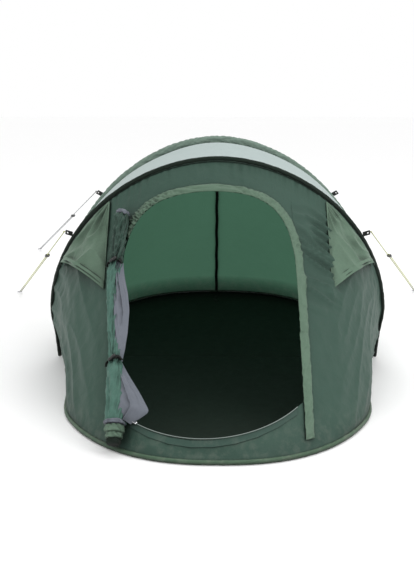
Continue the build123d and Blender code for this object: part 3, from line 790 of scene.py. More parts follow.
class GuyLines:
    """Cords, knots and the runners' frames of the three guy lines."""

    LINES = (
        GuyLine("guy_front_left", "front_arch", 0.244, (-1.130, 1.198, 0.0085), 0.33, "cord_yellow"),
        GuyLine("guy_front_right", "front_arch", 0.756, (1.140, 1.230, 0.0085), 0.33, "cord_yellow"),
        GuyLine("guy_rear_left", "rear_arch", 0.281, (-1.214, 2.403, 0.0085), 0.34, "cord_grey"),
    )
    DIAMETER = 0.004
    TAB_REACH = 0.009 + 0.0026 + 0.034 + 0.005 + 0.001
    RING_INNER = 0.011
    RUNNER_HALF = 0.025
    STRAND_GAP = 0.008

    def __init__(self, wardrobe: Wardrobe) -> None:
        """wardrobe hands out the materials."""
        self.wardrobe = wardrobe

    def places(self, line: GuyLine) -> tuple[Array, Array, Array, Array]:
        """The knot, the ring, the direction between them and the direction across to the second strand."""
        hoop, ring = HOOPS[line.hoop], np.array(line.ring)
        root = hoop.at(np.array(line.u))
        outward = unit(hoop.outward(np.array(line.u)) * 1.4 + unit(ring - root))
        knot = root + outward * self.TAB_REACH
        along = unit(ring - knot)
        sideways = unit(np.cross(along, UP))
        up = unit(np.cross(sideways, along))
        return knot, ring, along, np.cross(along, up)

    def strand(self, name: str, start: Array, stop: Array, finish: str) -> bpy.types.Object:
        """A straight cord as a curve, with even points so that it measures its real length."""
        curve = bpy.data.curves.new(name, "CURVE")
        curve.dimensions = "3D"
        curve.bevel_depth, curve.bevel_resolution, curve.resolution_u = self.DIAMETER / 2, 3, 4
        line = curve.splines.new("POLY")
        line.points.add(40)
        share = np.linspace(0, 1, 41)[:, None]
        points = np.hstack([start + (stop - start) * share, np.ones((41, 1))])
        line.points.foreach_set("co", points.astype(np.float32).ravel())
        curve.use_fill_caps = True
        made = bpy.data.objects.new(name, curve)
        bpy.context.scene.collection.objects.link(made)
        made.data.materials.append(self.wardrobe[finish])
        return made

    def build(self) -> None:
        """Makes each line, hangs its pieces on the line's body and hides the frame's cord, return and knot."""
        for line in self.LINES:
            knot, ring, along, across = self.places(line)
            runner = knot + (ring - knot) * line.runner_part
            stop = ring - along * self.RING_INNER
            cord = self.strand(f"{line.name}_line", knot, stop, line.finish)
            shift = across * self.STRAND_GAP
            start = runner - along * (self.RUNNER_HALF + 0.004) + shift
            back = self.strand(f"{line.name}_back", start, stop + shift, line.finish)
            tight = self.knot_object(f"{line.name}_tied", knot, along, line.finish)
            for piece in (cord, back, tight):
                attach(piece, line.name)
            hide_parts(f"{line.name}_cord")
            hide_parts(f"{line.name}_return")
            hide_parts(f"{line.name}_knot")

    def knot_object(self, name: str, centre: Array, along: Array, finish: str) -> bpy.types.Object:
        """An overhand knot: a trefoil tube pulled down to cord size."""
        turn = np.linspace(0, 2 * math.pi, 96, endpoint=False)
        size = 0.0011
        local = np.stack(
            [
                (np.sin(turn) + 2 * np.sin(2 * turn)) * size,
                (np.cos(turn) - 2 * np.cos(2 * turn)) * size,
                -np.sin(3 * turn) * size * 0.9,
            ],
            axis=-1,
        )
        side = unit(np.cross(along, UP))
        path = centre + local @ np.stack([along, side, np.cross(along, side)])
        path = np.vstack([path, path[:1]])
        hint = np.broadcast_to(np.cross(along, side) + 0.01, path.shape)
        piece = tube_object(name, path, hint, np.array(0.0019), np.array(0.0019), 12)
        return self.wardrobe.wear(piece, finish)


# ---- spring frame -------------------------------------------------------------------------------
@dataclass(frozen=True)
class SleeveStyle:
    """How one half hoop's sleeve looks: half widths at the top and at the feet, and its wrinkles."""

    finish: str
    body: str
    top_width: float
    foot_width: float
    top_depth: float
    wrinkle: float
    wrinkle_count: float
    slant: float


class SpringFrame:
    """The fabric sleeves round the spring hoops, with a dark cord beside the front one as a painted shadow line
    along its seam.
    """

    STYLES = {
        "front_arch": SleeveStyle("sleeve_dark", "front_arch", 0.0095, 0.0200, 0.0110, 0.0016, 120, 2.0),
        "rear_arch": SleeveStyle("sleeve_grey", "rear_arch", 0.0085, 0.0130, 0.0205, 0.0040, 130, 5.0),
        "front_ground": SleeveStyle("rim", "front_base", 0.0090, 0.0090, 0.0090, 0.0012, 140, 2.5),
        "rear_ground": SleeveStyle("rim", "rear_base", 0.0090, 0.0090, 0.0090, 0.0012, 140, 2.5),
    }

    def __init__(self, wardrobe: Wardrobe) -> None:
        """wardrobe hands out the materials."""
        self.wardrobe = wardrobe

    def build(self) -> None:
        """Makes the four sleeves and the painted seam shadow."""
        for number, (name, style) in enumerate(self.STYLES.items()):
            self.sleeve(name, style, number + 11)
        self.painted_seam_shadow()

    def sleeve(self, name: str, style: SleeveStyle, seed: int) -> None:
        """One sleeve: an oval tube, wider across the hoop's plane, with slanted wrinkles."""
        hoop = HOOPS[name]
        u = np.linspace(0, 1, 721)
        path = hoop.at(u)
        hint = np.broadcast_to(hoop.plane_normal, path.shape)
        swell = np.abs(2 * u - 1) ** 1.3
        wide = style.top_width + (style.foot_width - style.top_width) * swell
        feet = smoothstep(np.minimum(u, 1 - u), 0.0, 0.05)
        wide = SHAPE.sleeve_radius + (wide - SHAPE.sleeve_radius) * feet
        crest = smoothstep(np.minimum(u, 1 - u), 0.05, 0.20)
        deep = SHAPE.sleeve_radius + (style.top_depth - SHAPE.sleeve_radius) * crest
        path = path - hoop.outward(u) * (deep - SHAPE.sleeve_radius)[:, None]
        around = np.linspace(0, 2 * math.pi, 24, endpoint=False)
        wave = gradient_noise(
            u[:, None] * style.wrinkle_count + np.cos(around) * style.slant, np.sin(around) * 1.2 + 3, seed
        )
        relief = style.wrinkle * (wave - 0.35) * (0.4 + 0.6 * feet[:, None])
        relief = relief - np.maximum(relief, 0) * 0.5
        piece = tube_object(f"{name}_fabric", path, hint, wide, deep, 24, relief)
        self.wardrobe.wear(piece, style.finish)
        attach(piece, style.body)
        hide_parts(f"{name}_sleeve")

    def painted_seam_shadow(self) -> None:
        """A thin dark cord along the inner edge of the front sleeve: painted shade, standing in for the shadow
        line at the seam.
        """
        hoop = HOOPS["front_arch"]
        u = np.linspace(0.03, 0.97, 520)
        down = unit(HOOPS["front_ground"].at(u) - hoop.at(u))
        path = hoop.at(u) + down * 0.0155 + np.array([0.0, -0.002, 0.001])
        hint = np.broadcast_to(hoop.plane_normal, path.shape)
        piece = tube_object("front_arch_piping", path, hint, np.array(0.0016), np.array(0.0016), 10)
        self.wardrobe.wear(piece, "sleeve_dark")
        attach(piece, "front_arch")


# ---- front wall ---------------------------------------------------------------------------------
class FrontWall:
    """The door wall: its panel, storm flap, vent hoods and netting."""

    BODIES = ("front_base", "front_arch")
    DOOR_COLUMNS = 120
    SIDE_COLUMNS = 210
    FIRST_U = 0.02

    def __init__(self, wardrobe: Wardrobe) -> None:
        """wardrobe hands out the materials."""
        self.wardrobe = wardrobe

    def finish(self, piece: bpy.types.Object, share: Array, *finishes: str) -> bpy.types.Object:
        """Dresses a piece and bakes its transform into its mesh."""
        self.wardrobe.wear(piece, *finishes)
        follow_fabric(piece, *self.BODIES, share)
        return piece

    def build(self) -> None:
        """Makes every piece of the wall."""
        self.panel()
        self.storm_flap()
        for side in (-1, 1):
            self.hood(side)
            self.netting(side)

    def relief(self, u: Array, v: Array) -> Array:
        """How far the cloth stands off the straight panel: slack, folds at the sides, puckers at the seams."""
        slack = 0.009 * gradient_noise(u * 9, v * 2.5, 21)
        left = smoothstep(u, 0.345, 0.26) * smoothstep(v, 0.0, 0.12)
        left_folds = 0.012 * left * (folds(u * 24 + v * 3.5, v * 1.6 + u * 3, 22) - 0.4)
        right = smoothstep(u, 0.62, 0.70)
        right_folds = 0.010 * right * (folds(u * 18 - v * 2.5, v * 1.8, 23) - 0.4)
        shoulder = smoothstep(u, 0.60, 0.625) * smoothstep(u, 0.70, 0.655) * smoothstep(v, 0.45, 0.6)
        shoulder = shoulder * smoothstep(v, 0.95, 0.85)
        shoulder_folds = 0.020 * shoulder * (folds(v * 24 + u * 14, u * 12, 24) - 0.35)
        crown = np.exp(-(1 - np.clip(v, 0, 1)) / 0.045) * smoothstep(np.abs(u - 0.5), 0.3, 0.12)
        puckers = 0.0075 * crown * gradient_noise(u * 150, v * 3, 25)
        hem = 0.003 * np.exp(-np.clip(v, 0, 1) / 0.035) * gradient_noise(u * 120, v * 4, 26)
        small = 0.0016 * gradient_noise(u * 60, v * 20, 27)
        in_door = smoothstep(u, DOOR.left - 0.02, DOOR.left + 0.01) * smoothstep(
            u, DOOR.right + 0.02, DOOR.right - 0.01
        )
        calm = 1 - 0.97 * in_door * smoothstep(v - DOOR.sill(np.clip(u, DOOR.left, DOOR.right)), -0.05, -0.015)
        calm = np.where(v > 0.4, 1.0, calm)
        edge = calm * smoothstep(v, -0.01, 0.02) * smoothstep(v, 1.01, 0.98)
        span = np.clip(FRONT.span(u) / 0.25, 0.05, 1.0)
        return edge * span * (slack + left_folds + right_folds + shoulder_folds + puckers + hem + small)

    def panel(self) -> None:
        """The wall itself, with the doorway left open."""
        middle, half = (DOOR.left + DOOR.right) / 2, (DOOR.right - DOOR.left) / 2
        door_u = middle + half * np.sin(np.linspace(-math.pi / 2, math.pi / 2, self.DOOR_COLUMNS + 1))
        left_u = np.linspace(self.FIRST_U, DOOR.left, self.SIDE_COLUMNS + 1)
        right_u = np.linspace(DOOR.right, 1 - self.FIRST_U, self.SIDE_COLUMNS + 1)
        u = np.concatenate([left_u[:-1], door_u, right_u[1:]])
        inside = np.clip(u, DOOR.left, DOOR.right)
        low, high = FRONT.edge_v(u, 0.004), 1 - FRONT.edge_v(u, 0.004)
        sill, head = DOOR.sill(inside), DOOR.head(inside)
        counts = (14, 90, 70)
        rows = [low + (sill - low) * t for t in np.linspace(0, 1, counts[0] + 1)[:-1]]
        rows += [sill + (head - sill) * t for t in np.linspace(0, 1, counts[1] + 1)[:-1]]
        rows += [head + (high - head) * t for t in np.linspace(0, 1, counts[2] + 1)]
        v = np.stack(rows)
        across = np.broadcast_to(u, v.shape)
        points = FRONT.at(across, v, self.relief(across, v))
        keep = np.ones((v.shape[0] - 1, v.shape[1] - 1), bool)
        start = self.SIDE_COLUMNS
        keep[counts[0] : counts[0] + counts[1], start : start + self.DOOR_COLUMNS] = False
        uv = np.stack(FRONT.cloth(across, v), axis=-1)
        wall = grid_object("front_wall_cloth", points, uv, keep=keep)
        quads = grid_faces(*v.shape, False)[keep.ravel()]
        used = np.unique(quads)
        share = v.ravel()[used]
        self.finish(wall, share, "wall")
        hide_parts("front_wall")
        declare_sheet(wall)

    def storm_flap(self) -> None:
        """The light band over the zip: from the roll over the door's head and down its right side."""
        turn = np.linspace(math.radians(150), 0.0, 260)
        down = np.linspace(DOOR.spring, 0.03, 120)[1:]
        w = np.linspace(0, 1, 13)
        middle, half = (DOOR.left + DOOR.right) / 2, (DOOR.right - DOOR.left) / 2
        sweep_x = np.sign(np.cos(turn)) * np.sqrt(np.abs(np.cos(turn)))
        sweep_y = np.sqrt(np.abs(np.sin(turn)))
        grow = DOOR.flap_u * (w - 0.1)
        rise = DOOR.top - DOOR.spring + (DOOR.flap_v * (w - 0.1))
        u = np.vstack(
            [middle + (half + grow) * sweep_x[:, None], np.broadcast_to(middle + half + grow, (119, 13))]
        )
        v = np.vstack([DOOR.spring + rise * sweep_y[:, None], np.broadcast_to(down[:, None], (119, 13))])
        run = np.linspace(0, 1, len(u))[:, None]
        crinkle = 0.0050 * (0.35 + smoothstep(run, 0.5, 0.1)) * gradient_noise(run * 110, w * 2.0, 31)
        crinkle = crinkle + 0.0028 * gradient_noise(run * 70 + w * 2, w * 2.5, 32)
        lift = 0.0065 + 0.0035 * np.sin(math.pi * w) + crinkle + FrontWall.relief(self, u, v)
        points = FRONT.at(u, v, lift)
        uv = np.stack(FRONT.cloth(u, v), axis=-1)
        flap = grid_object("storm_flap_cloth", points, uv, flip=True)
        thicken(flap, 0.0012)
        self.finish(flap, v, "light_panel")
        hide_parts("storm_flap")
        declare_sheet(flap)

    def hood_place(self, side: int, across: Array, down: Array) -> tuple[Array, Array]:
        """(u, v) of a place on a vent hood; side is -1 for the left hood and 1 for the right."""
        inner, outer, top = (0.334, 0.588), (0.197, 0.960), (0.331, 0.992)
        edge_u = inner[0] + (outer[0] - inner[0]) * across
        edge_v = inner[1] + (outer[1] - inner[1]) * across
        u, v = top[0] + (edge_u - top[0]) * down, top[1] + (edge_v - top[1]) * down
        return (1 - u if side > 0 else u), v

    def hood(self, side: int) -> None:
        """A vent hood: a triangle of cloth that stands off the wall along its lower edge."""
        name = "right" if side > 0 else "left"
        down = np.linspace(0.0, 1.0, 110)[:, None] ** 0.9
        across = np.linspace(0.0, 1.0, 90)[None, :]
        u, v = self.hood_place(side, across, down)
        stand = 0.046 * down**1.5 * np.sin(math.pi * across) ** 0.8
        crease = folds(across * 3.2 + side * 0.7, down * 2.0 - across * 1.5, 41 + side) - 0.4
        small = gradient_noise(across * 9, down * 7, 43 + side)
        hem = smoothstep(down, 0.905, 0.920) - 0.5 * smoothstep(down, 0.955, 0.965)
        body = np.sin(math.pi * across) ** 0.5 * smoothstep(down, 0.0, 0.25)
        valley = np.exp(-(((across - 0.50 - 0.10 * np.sin(3 * down)) / 0.13) ** 2)) * smoothstep(
            down, 0.05, 0.4
        )
        tuck = smoothstep(across, 0.55, 1.0) * smoothstep(down, 0.0, 0.2) * (1 - across)
        lift = (
            0.0035
            + stand * (1 - 0.5 * valley * (1 - hem))
            - 0.02 * tuck
            + body * (0.020 * crease * (1 - 0.5 * hem) + 0.0026 * small)
            + 0.0022 * hem
        )
        points = FRONT.at(u, v, lift)
        uv = np.stack(np.broadcast_arrays(across * 0.42, down * 0.36), axis=-1)
        hood = grid_object(f"vent_hood_{name}_cloth", points, uv, flip=side < 0)
        thicken(hood, 0.0012)
        self.finish(hood, v + 0 * across, "light_panel")
        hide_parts(f"vent_hood_{name}")
        declare_sheet(hood)
        self.hood_seam(side, name)
        self.stitches(side, name)

    def hood_seam(self, side: int, name: str) -> None:
        """The raised seam along the hood's inner edge."""
        down = np.linspace(0.02, 0.99, 160)
        u, v = self.hood_place(side, np.full(160, 0.012), down)
        path = FRONT.at(u, v, 0.0055)
        hint = FRONT.normal(u, v)
        seam = tube_object(f"vent_hood_{name}_seam", path, hint, np.array(0.0022), np.array(0.0042), 12)
        self.finish(seam, np.repeat(v, 12), "light_panel")

    def stitches(self, side: int, name: str) -> None:
        """Two rows of dark stitches along the hood's hem."""
        rows = []
        for level in (0.912, 0.965):
            across = np.linspace(0.04, 0.96, 150)
            u, v = self.hood_place(side, across, np.full(150, level))
            lift = 0.0035 + 0.046 * level**1.5 * np.sin(math.pi * across) ** 0.8 + 0.0028
            rows.append((FRONT.at(u, v, lift), v))
        boxes, shares = [], []
        for path, v in rows:
            start, stop = path[:-1:2], path[1::2]
            along = unit(stop - start)
            side_way = unit(np.cross(along, UP)) * 0.0008
            up = np.cross(along, side_way) * 1.2
            corners = [start - side_way, start + side_way, stop + side_way, stop - side_way]
            corners = [c - up * 0.4 for c in corners] + [c + up for c in corners]
            boxes.append(np.stack(corners, axis=1))
            shares.append(np.repeat(v[:-1:2], 8))
        points = np.concatenate(boxes)
        shape = [[0, 3, 2, 1], [4, 5, 6, 7], [0, 1, 5, 4], [1, 2, 6, 5], [2, 3, 7, 6], [3, 0, 4, 7]]
        faces = (np.arange(len(points))[:, None, None] * 8 + np.array(shape)[None]).reshape(-1, 4)
        made = make_object(f"vent_hood_{name}_stitches", points.reshape(-1, 3), faces.tolist())
        self.finish(made, np.concatenate(shares), "sleeve_dark")

    def netting(self, side: int) -> None:
        """The insect netting behind a hood."""
        name = "right" if side > 0 else "left"
        across = np.linspace(0.2, 0.8, 30)[None, :]
        down = np.linspace(0.45, 0.85, 24)[:, None]
        u, v = self.hood_place(side, across, down)
        points = FRONT.at(u, v, 0.0045 + self.relief(u, v))
        uv = np.stack(np.broadcast_arrays(across * 0.42, down * 0.36), axis=-1)
        net = grid_object(f"vent_net_{name}", points, uv, flip=side < 0)
        self.finish(net, v, "mesh")
        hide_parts(f"vent_mesh_{name}")
        declare_sheet(net)


def cloth_area(piece: bpy.types.Object) -> float:
    """The area of a sheet's own faces in square metres."""
    areas = np.zeros(len(piece.data.polygons), np.float32)
    piece.data.polygons.foreach_get("area", areas)
    return round(float(areas.sum()), 4)


def declare_sheet(piece: bpy.types.Object) -> None:
    """Works out the area of a sheet's own faces and does nothing more with it."""
    area = cloth_area(piece)


# ---- rolled door --------------------------------------------------------------------------------
class RolledDoor:
    """The door, rolled up along the left of the doorway and held by two ties."""

    TIES = {"upper": 0.672, "lower": 0.288}
    PLACE = (
        (-0.02, 0.3810),
        (0.115, 0.3810),
        (0.20, 0.3780),
        (0.288, 0.3715),
        (0.40, 0.3650),
        (0.60, 0.3590),
        (0.75, 0.3630),
        (0.92, 0.3695),
    )
    GIRTH = (
        (0.060, 0.0370),
        (0.17, 0.0350),
        (0.25, 0.0290),
        (0.33, 0.0190),
        (0.42, 0.0205),
        (0.55, 0.0240),
        (0.62, 0.0235),
        (0.72, 0.0230),
        (0.80, 0.0260),
        (0.90, 0.0275),
    )
    REACH = {
        "upper": (
            (0.290, 0.018),
            (0.33, 0.034),
            (0.40, 0.052),
            (0.48, 0.060),
            (0.55, 0.052),
            (0.62, 0.034),
            (0.670, 0.020),
        ),
        "lower": ((0.090, 0.045), (0.112, 0.080), (0.138, 0.122), (0.19, 0.082), (0.24, 0.046), (0.286, 0.018)),
    }

    def __init__(self, wall: FrontWall) -> None:
        """wall is what the door hangs on."""
        self.wall = wall

    def build(self) -> None:
        """Makes the roll, the lining that spills from it, its lower end and its ties."""
        self.roll()
        for name in self.REACH:
            self.lining(name)
        self.top_end()
        self.lower_end()
        for name, v in self.TIES.items():
            self.tie(name, v)

    def profile(self, table: tuple, v: Array) -> Array:
        """A smooth reading of a table of (v, value)."""
        levels = np.array(sorted(table))
        fine = np.linspace(levels[0, 0], levels[-1, 0], 400)
        values = np.interp(fine, levels[:, 0], levels[:, 1])
        soft = np.convolve(np.pad(values, 18, mode="edge"), np.ones(37) / 37, mode="valid")
        return np.interp(v, fine, soft)

    def place(self, v: Array) -> Array:
        """u of the roll's centre line."""
        return self.profile(self.PLACE, v)

    def axis(self, v: Array) -> Array:
        """The roll's centre line, clear of the wall."""
        return FRONT.at(self.place(v), v, 0.006 + self.profile(self.GIRTH, v) * 0.95)

    def wrapped(self, name: str, v: Array, radius: Array, relief: Array, finish: str) -> bpy.types.Object:
        """A rolled length of cloth about the centre line, its section given by radius and relief."""
        path = self.axis(v)
        hint = FRONT.normal(self.place(v), v)
        piece = tube_object(name, path, hint, radius, radius, relief.shape[1], relief)
        return self.wall.finish(piece, np.repeat(v, relief.shape[1]), finish)

    def roll(self) -> None:
        """The roll: crumpled above the upper tie, where a darker copy of the door cloth paints shade on it,
        fuller and brighter below it.
        """
        around = np.linspace(0, 2 * math.pi, 80, endpoint=False)[None, :]
        upper = self.TIES["upper"]
        parts = (("upper", 0.858, upper, "door_dark", 51, 1.9), ("lower", upper, 0.064, "door", 52, 1.2))
        for name, high, low, finish, seed, depth in parts:
            v = np.linspace(high, low, 360)
            pinch = sum(np.exp(-(((v - tie) / 0.022) ** 2)) for tie in self.TIES.values())
            radius = self.profile(self.GIRTH, v) * (1.0 - 0.34 * pinch)
            run = v[:, None] * 26
            spiral = ((around / (2 * math.pi) + v[:, None] * 0.8 + 0.25) % 1.0) - 0.5
            round_x, round_y = np.cos(around) * 1.1, np.sin(around) * 1.1
            long_folds = folds(round_x * 1.6 + run * 0.22 + 4, round_y * 1.6 + run * 0.12, seed) - 0.45
            slanted = folds(run * 0.8 + round_x * 2.2, round_y * 1.5 + 6, seed + 3) - 0.45
            small = gradient_noise(run * 2.2 + round_x * 2, round_y * 2.4 + 9, seed + 6)
            gathered = depth * (1 + 1.0 * pinch[:, None])
            relief = 0.0055 * spiral + gathered * (0.0058 * long_folds + 0.0042 * slanted + 0.0013 * small)
            piece = self.wrapped(f"door_roll_{name}", v, radius, relief - 0.002, finish)
            if name == "lower":
                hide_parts("door_roll")

    def lining(self, name: str) -> None:
        """A stretch of lining that spills out of the roll towards the doorway, in upright folds."""
        table = self.REACH[name]
        v = np.linspace(min(table)[0], max(table)[0], 140)
        reach = self.profile(table, v)[:, None]
        girth = self.profile(self.GIRTH, v)[:, None]
        w = np.linspace(0, 1, 56)
        place = self.place(v)[:, None]
        level = np.broadcast_to(v[:, None], (140, 56))
        scale = (
            np.linalg.norm(FRONT.flat(place + 0.01, v[:, None]) - FRONT.flat(place, v[:, None]), axis=-1) / 0.01
        )
        start = girth * 0.45
        out = start + (np.maximum(reach, start + 0.004) - start) * w
        droop = 0.012 * w * smoothstep(v, 0.20, 0.11)[:, None] * (1 if name == "lower" else 0)
        u = place + out / scale
        wave = 0.013 * (folds(w * 2.3 + v[:, None] * 3.0, v[:, None] * 4.0, 61 + len(name)) - 0.45)
        small = 0.0022 * gradient_noise(w * 7, v[:, None] * 40, 63)
        open_out = np.clip((reach - start) / 0.03, 0.1, 1.0)
        lift = (
            0.008 + girth * 1.5 * (1 - w**1.4) + open_out * (wave + small) * np.sin(math.pi * w * 0.9 + 0.2)
        )
        points = FRONT.at(u, level - droop, lift)
        uv = np.stack(np.broadcast_arrays(w * 0.12, v[:, None]), axis=-1)
        cloth = grid_object(f"door_lining_{name}_cloth", points, uv)
        thicken(cloth, 0.0012)
        self.wall.finish(cloth, level, "lining")
        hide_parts(f"door_lining_{name}")
        declare_sheet(cloth)

    def top_end(self) -> None:
        """The folded lining that shows at the roll's top, tilted down to the right."""
        part = np.linspace(-1, 1, 60)
        u = self.place(np.array([0.87]))[0] + 0.0010 + 0.0085 * part
        v = 0.866 - 0.012 * part
        path = FRONT.at(u, v, 0.036)
        around = np.linspace(0, 2 * math.pi, 40, endpoint=False)[None, :]
        end = np.sqrt(np.clip(1 - part**4, 0.03, 1))
        wave = folds(part[:, None] * 1.6 + np.cos(around), np.sin(around) * 1.3, 71) - 0.5
        hint = FRONT.normal(u, v)
        piece = tube_object(
            "door_roll_top", path, hint, 0.024 * end, 0.013 * end, 40, 0.0060 * wave * end[:, None]
        )
        self.wall.finish(piece, np.repeat(v, 40), "lining")

    def lower_end(self) -> None:
        """Below the roll: the lining's hem band, the folded flap end and its foot, coloured near black as
        painted shadow where it meets the ground.
        """
        bands = (
            ("door_hem_band", 0.076, 0.058, 0.0400, "lining", "door_hem", 81),
            ("flap_end_fold", 0.062, 0.030, 0.0365, "light_panel", "storm_flap_end", 82),
            ("flap_end_under", 0.036, 0.012, 0.0310, "light_panel", "", 85),
            # the foot band wears the dark sleeve cloth: painted shadow at the ground
            ("flap_end_foot", 0.018, -0.008, 0.0250, "sleeve_dark", "", 83),
        )
        around = np.linspace(0, 2 * math.pi, 72, endpoint=False)[None, :]
        for name, high, low, radius, finish, node, seed in bands:
            part = np.linspace(-1, 1, 60)
            v = np.linspace(high, low, 60)
            round_off = np.sqrt(np.clip(1 - np.abs(part) ** 6, 0.10, 1))
            wave = folds(
                np.cos(around) * 1.4 + part[:, None] * 0.7, np.sin(around) * 1.4 + part[:, None] * 0.4, seed
            )
            relief = 0.0080 * (wave - 0.5) * round_off[:, None] - 0.002
            piece = self.wrapped(name, v, radius * round_off, relief, finish)
            if node:
                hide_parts(node)

    def tie(self, name: str, v: float) -> None:
        """A webbing tie round the roll, its toggle and the loop's two ends."""
        turn = np.linspace(0, 2 * math.pi, 97)
        here = np.array([v])
        centre = self.axis(here)[0]
        front = FRONT.normal(self.place(here), here)[0]
        up = unit(self.axis(here + 0.01)[0] - self.axis(here - 0.01)[0])
        side = np.cross(up, front)
        ring = float(self.profile(self.GIRTH, here)[0]) * 0.66 + 0.0065
        path = centre + ring * (np.cos(turn)[:, None] * front + np.sin(turn)[:, None] * side)
        path = path + up * (0.004 * np.sin(turn + 0.6))[:, None]
        hint = np.broadcast_to(up, path.shape)
        band = tube_object(
            f"door_tie_{name}_band", path, hint, np.array(0.0075), np.array(0.0016), 10, squareness=0.5
        )
        self.wall.finish(band, np.full(970, v), "webbing")
        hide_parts(f"door_tie_{name}")
        part = np.linspace(-1, 1, 40)
        middle = centre + front * (ring + 0.0055) + side * 0.006
        bar = middle + side * (part * 0.016)[:, None] + up * (part * 0.007)[:, None]
        taper = 0.0060 * np.sqrt(np.clip(1 - np.abs(part) ** 6, 0.02, 1)) * (
            1 - 0.25 * np.exp(-((part / 0.16) ** 2))
        )
        toggle = tube_object(
            f"door_toggle_{name}_bar", bar, np.broadcast_to(up, bar.shape), taper, taper, 20
        )
        self.wall.finish(toggle, np.full(800, v), "black_plastic")
        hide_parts(f"door_toggle_{name}")
        for hand, reach in (("left", -1), ("right", 1)):
            start = centre + side * reach * ring + front * 0.004
            step = np.linspace(0, 1, 24)[:, None]
            path = (
                start + side * reach * 0.016 * step - up * 0.014 * step**2 + front * 0.008 * np.sin(step * 3.0)
            )
            width = 0.0065 * (0.8 + 0.2 * np.sin(step.ravel() * 6))
            hint = np.broadcast_to(front, path.shape)
            knot = tube_object(f"door_tie_{name}_{hand}", path, hint, width, width * 0.6, 12)
            self.wall.finish(knot, np.full(24 * 12, v), "webbing")


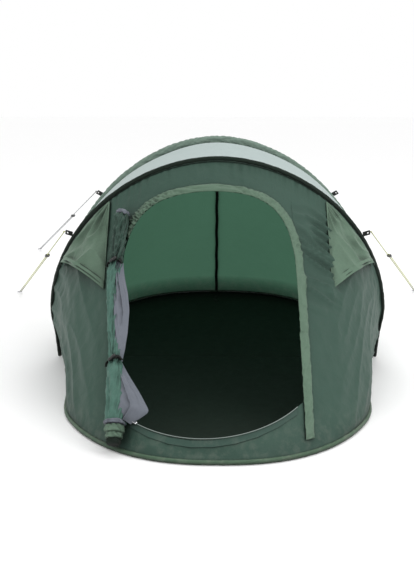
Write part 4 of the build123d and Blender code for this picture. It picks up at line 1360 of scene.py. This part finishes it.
# ---- roof, rear wall and floor ------------------------------------------------------------------
class Shelter:
    """The roof, the rear wall with its strip, and the two halves of the groundsheet."""

    SLEEVE_DROP = 0.026

    def __init__(self, wardrobe: Wardrobe) -> None:
        """wardrobe hands out the materials."""
        self.wardrobe = wardrobe

    def build(self) -> None:
        """Makes every piece."""
        self.whole_panel("roof_cloth", ROOF, ("front_arch", "rear_arch"), "roof", "roof_panel", 91)
        self.whole_panel(
            "rear_wall_cloth", REAR, ("rear_base", "rear_arch"), "wall_inside", "rear_wall", 92
        )
        self.strip()
        for sign, name in ((-1, "front"), (1, "rear")):
            self.groundsheet(sign, name)

    def relief(self, panel: Panel, u: Array, v: Array, seed: int) -> Array:
        """Slack and creases of a whole panel; corner creases run up from the feet on the rear wall."""
        slack = 0.006 * gradient_noise(u * 8, v * 2.0, seed)
        seam = np.exp(-np.clip(v, 0, 1) / 0.05) + np.exp(-(1 - np.clip(v, 0, 1)) / 0.05)
        puckers = 0.0025 * seam * gradient_noise(u * 130, v * 3, seed + 3)
        corner = smoothstep(np.abs(u - 0.5), 0.16, 0.34) * smoothstep(v, 0.6, 0.05)
        creases = 0.010 * corner * (folds(np.abs(u - 0.5) * 26 + v * 5, v * 2, seed + 5) - 0.4)
        edge = smoothstep(v, -0.01, 0.03) * smoothstep(v, 1.01, 0.97)
        return edge * np.clip(panel.span(u) / 0.25, 0.05, 1.0) * (slack + puckers + creases)

    def whole_panel(
        self, name: str, panel: Panel, bodies: tuple, finish: str, node: str, seed: int
    ) -> None:
        """A panel with no opening, from one hoop to the next."""
        u = np.linspace(0.02, 0.98, 420)
        low, high = panel.edge_v(u, 0.004), 1 - panel.edge_v(u, 0.004)
        rows = np.linspace(0, 1, 130)[:, None]
        v = low + (high - low) * rows
        across = np.broadcast_to(u, v.shape)
        lift = self.relief(panel, across, v, seed)
        if panel is ROOF:
            lift = lift - self.SLEEVE_DROP * smoothstep(v, 0.70, 1.0) * smoothstep(
                panel.span(across), 0.15, 0.5
            )
        points = panel.at(across, v, lift)
        uv = np.stack(panel.cloth(across, v), axis=-1)
        cloth = grid_object(name, points, uv, flip=panel.sign < 0)
        self.wardrobe.wear(cloth, finish)
        follow_fabric(cloth, *bodies, v)
        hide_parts(node)
        declare_sheet(cloth)

    def strip(self) -> None:
        """The dark webbing strip down the middle of the rear wall and its tail on the floor."""
        v = np.linspace(0.0, 0.95, 160)[:, None]
        u = np.linspace(-1, 1, 5)[None, :] * 0.0024 + 0.5 + 0.0004 * np.sin(v * 40)
        across, level = np.broadcast_arrays(u, v)
        points = REAR.at(across, level, -0.0075 + self.relief(REAR, across, level, 92))
        strip = grid_object("rear_strip_webbing", points, np.stack(REAR.cloth(across, level), axis=-1))
        thicken(strip, 0.001)
        self.wardrobe.wear(strip, "webbing")
        follow_fabric(strip, "rear_base", "rear_arch", level)
        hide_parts("rear_wall_strip")
        run = np.linspace(0, 1, 60)[:, None]
        side = np.linspace(-1, 1, 5)[None, :]
        x = 0.0085 * side + 0.006 * np.sin(run * 8)
        y = SHAPE.length / 2 - 0.045 - 0.2 * run + 0 * side
        z = 0.0042 + 0.0015 * (1 + np.sin(run * 17)) + 0 * side
        tail = grid_object("strip_tail_webbing", np.stack(np.broadcast_arrays(x, y, z), axis=-1))
        thicken(tail, 0.001)
        self.wardrobe.wear(tail, "webbing")
        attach(tail, "rear_base")
        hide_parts("strip_tail")

    def groundsheet(self, sign: int, name: str) -> None:
        """Half of the groundsheet, from the foot line to its ground hoop, a little rucked."""
        hoop = HOOPS[f"{name}_ground"]
        u = np.linspace(0.0008, 0.9992, 360)
        rim = hoop.at(u)
        inset = rim - hoop.outward(u) * 0.006
        part = np.linspace(0, 1, 90)[:, None]
        x = np.broadcast_to(inset[:, 0], (90, 360))
        y = sign * np.maximum(np.abs(inset[:, 1]), 0.001) * part
        ruck = folds(x * 5 + 3, y * 6, 95 + sign) * 0.5 + folds(x * 14, y * 12 + x * 4, 97 + sign) * 0.3
        edge = smoothstep(part, 0.0, 0.05) * smoothstep(part, 1.0, 0.93)
        z = 0.0014 + 0.0025 * edge * np.clip(ruck - 0.25, 0, 1)
        points = np.stack(np.broadcast_arrays(x, y, z), axis=-1)
        sheet = grid_object(f"groundsheet_{name}_cloth", points, points[..., :2].copy(), flip=sign > 0)
        thicken(sheet, 0.0012)
        self.wardrobe.wear(sheet, "floor")
        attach(sheet, f"{name}_base")
        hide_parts(f"groundsheet_{name}")
        declare_sheet(sheet)


class Fittings:
    """Small parts of the frame that keep their own shape and only need a finish."""

    FINISHES = {
        "rod": ("_rod",),
        "ferrule": ("_ferrules", "_ring"),
        "webbing": ("guy_tab_", "peg_loops"),
        "brass": ("peg_grommets",),
        "black_plastic": ("_runner",),
        "zip_teeth": ("zip_coil",),
        "zip_tape": ("zip_tape",),
        "zip_metal": ("zip_slider", "zip_pull"),
    }

    def __init__(self, wardrobe: Wardrobe, nodes: dict) -> None:
        """nodes are the frame's objects by name."""
        self.wardrobe, self.nodes = wardrobe, nodes

    def build(self) -> None:
        """Dresses each node whose name holds one of a finish's words."""
        for finish, words in self.FINISHES.items():
            for name, node in self.nodes.items():
                if any(word in name for word in words):
                    dress(node, self.wardrobe[finish])


def main() -> None:
    """Builds the whole scene round the frame."""
    logging.basicConfig(level=logging.INFO, format="%(name)s: %(message)s")
    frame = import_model()
    Studio().build()
    wardrobe = Wardrobe()
    GuyLines(wardrobe).build()
    SpringFrame(wardrobe).build()
    wall = FrontWall(wardrobe)
    wall.build()
    RolledDoor(wall).build()
    Shelter(wardrobe).build()
    Fittings(wardrobe, frame["nodes"]).build()


if __name__ == "__main__":
    main()
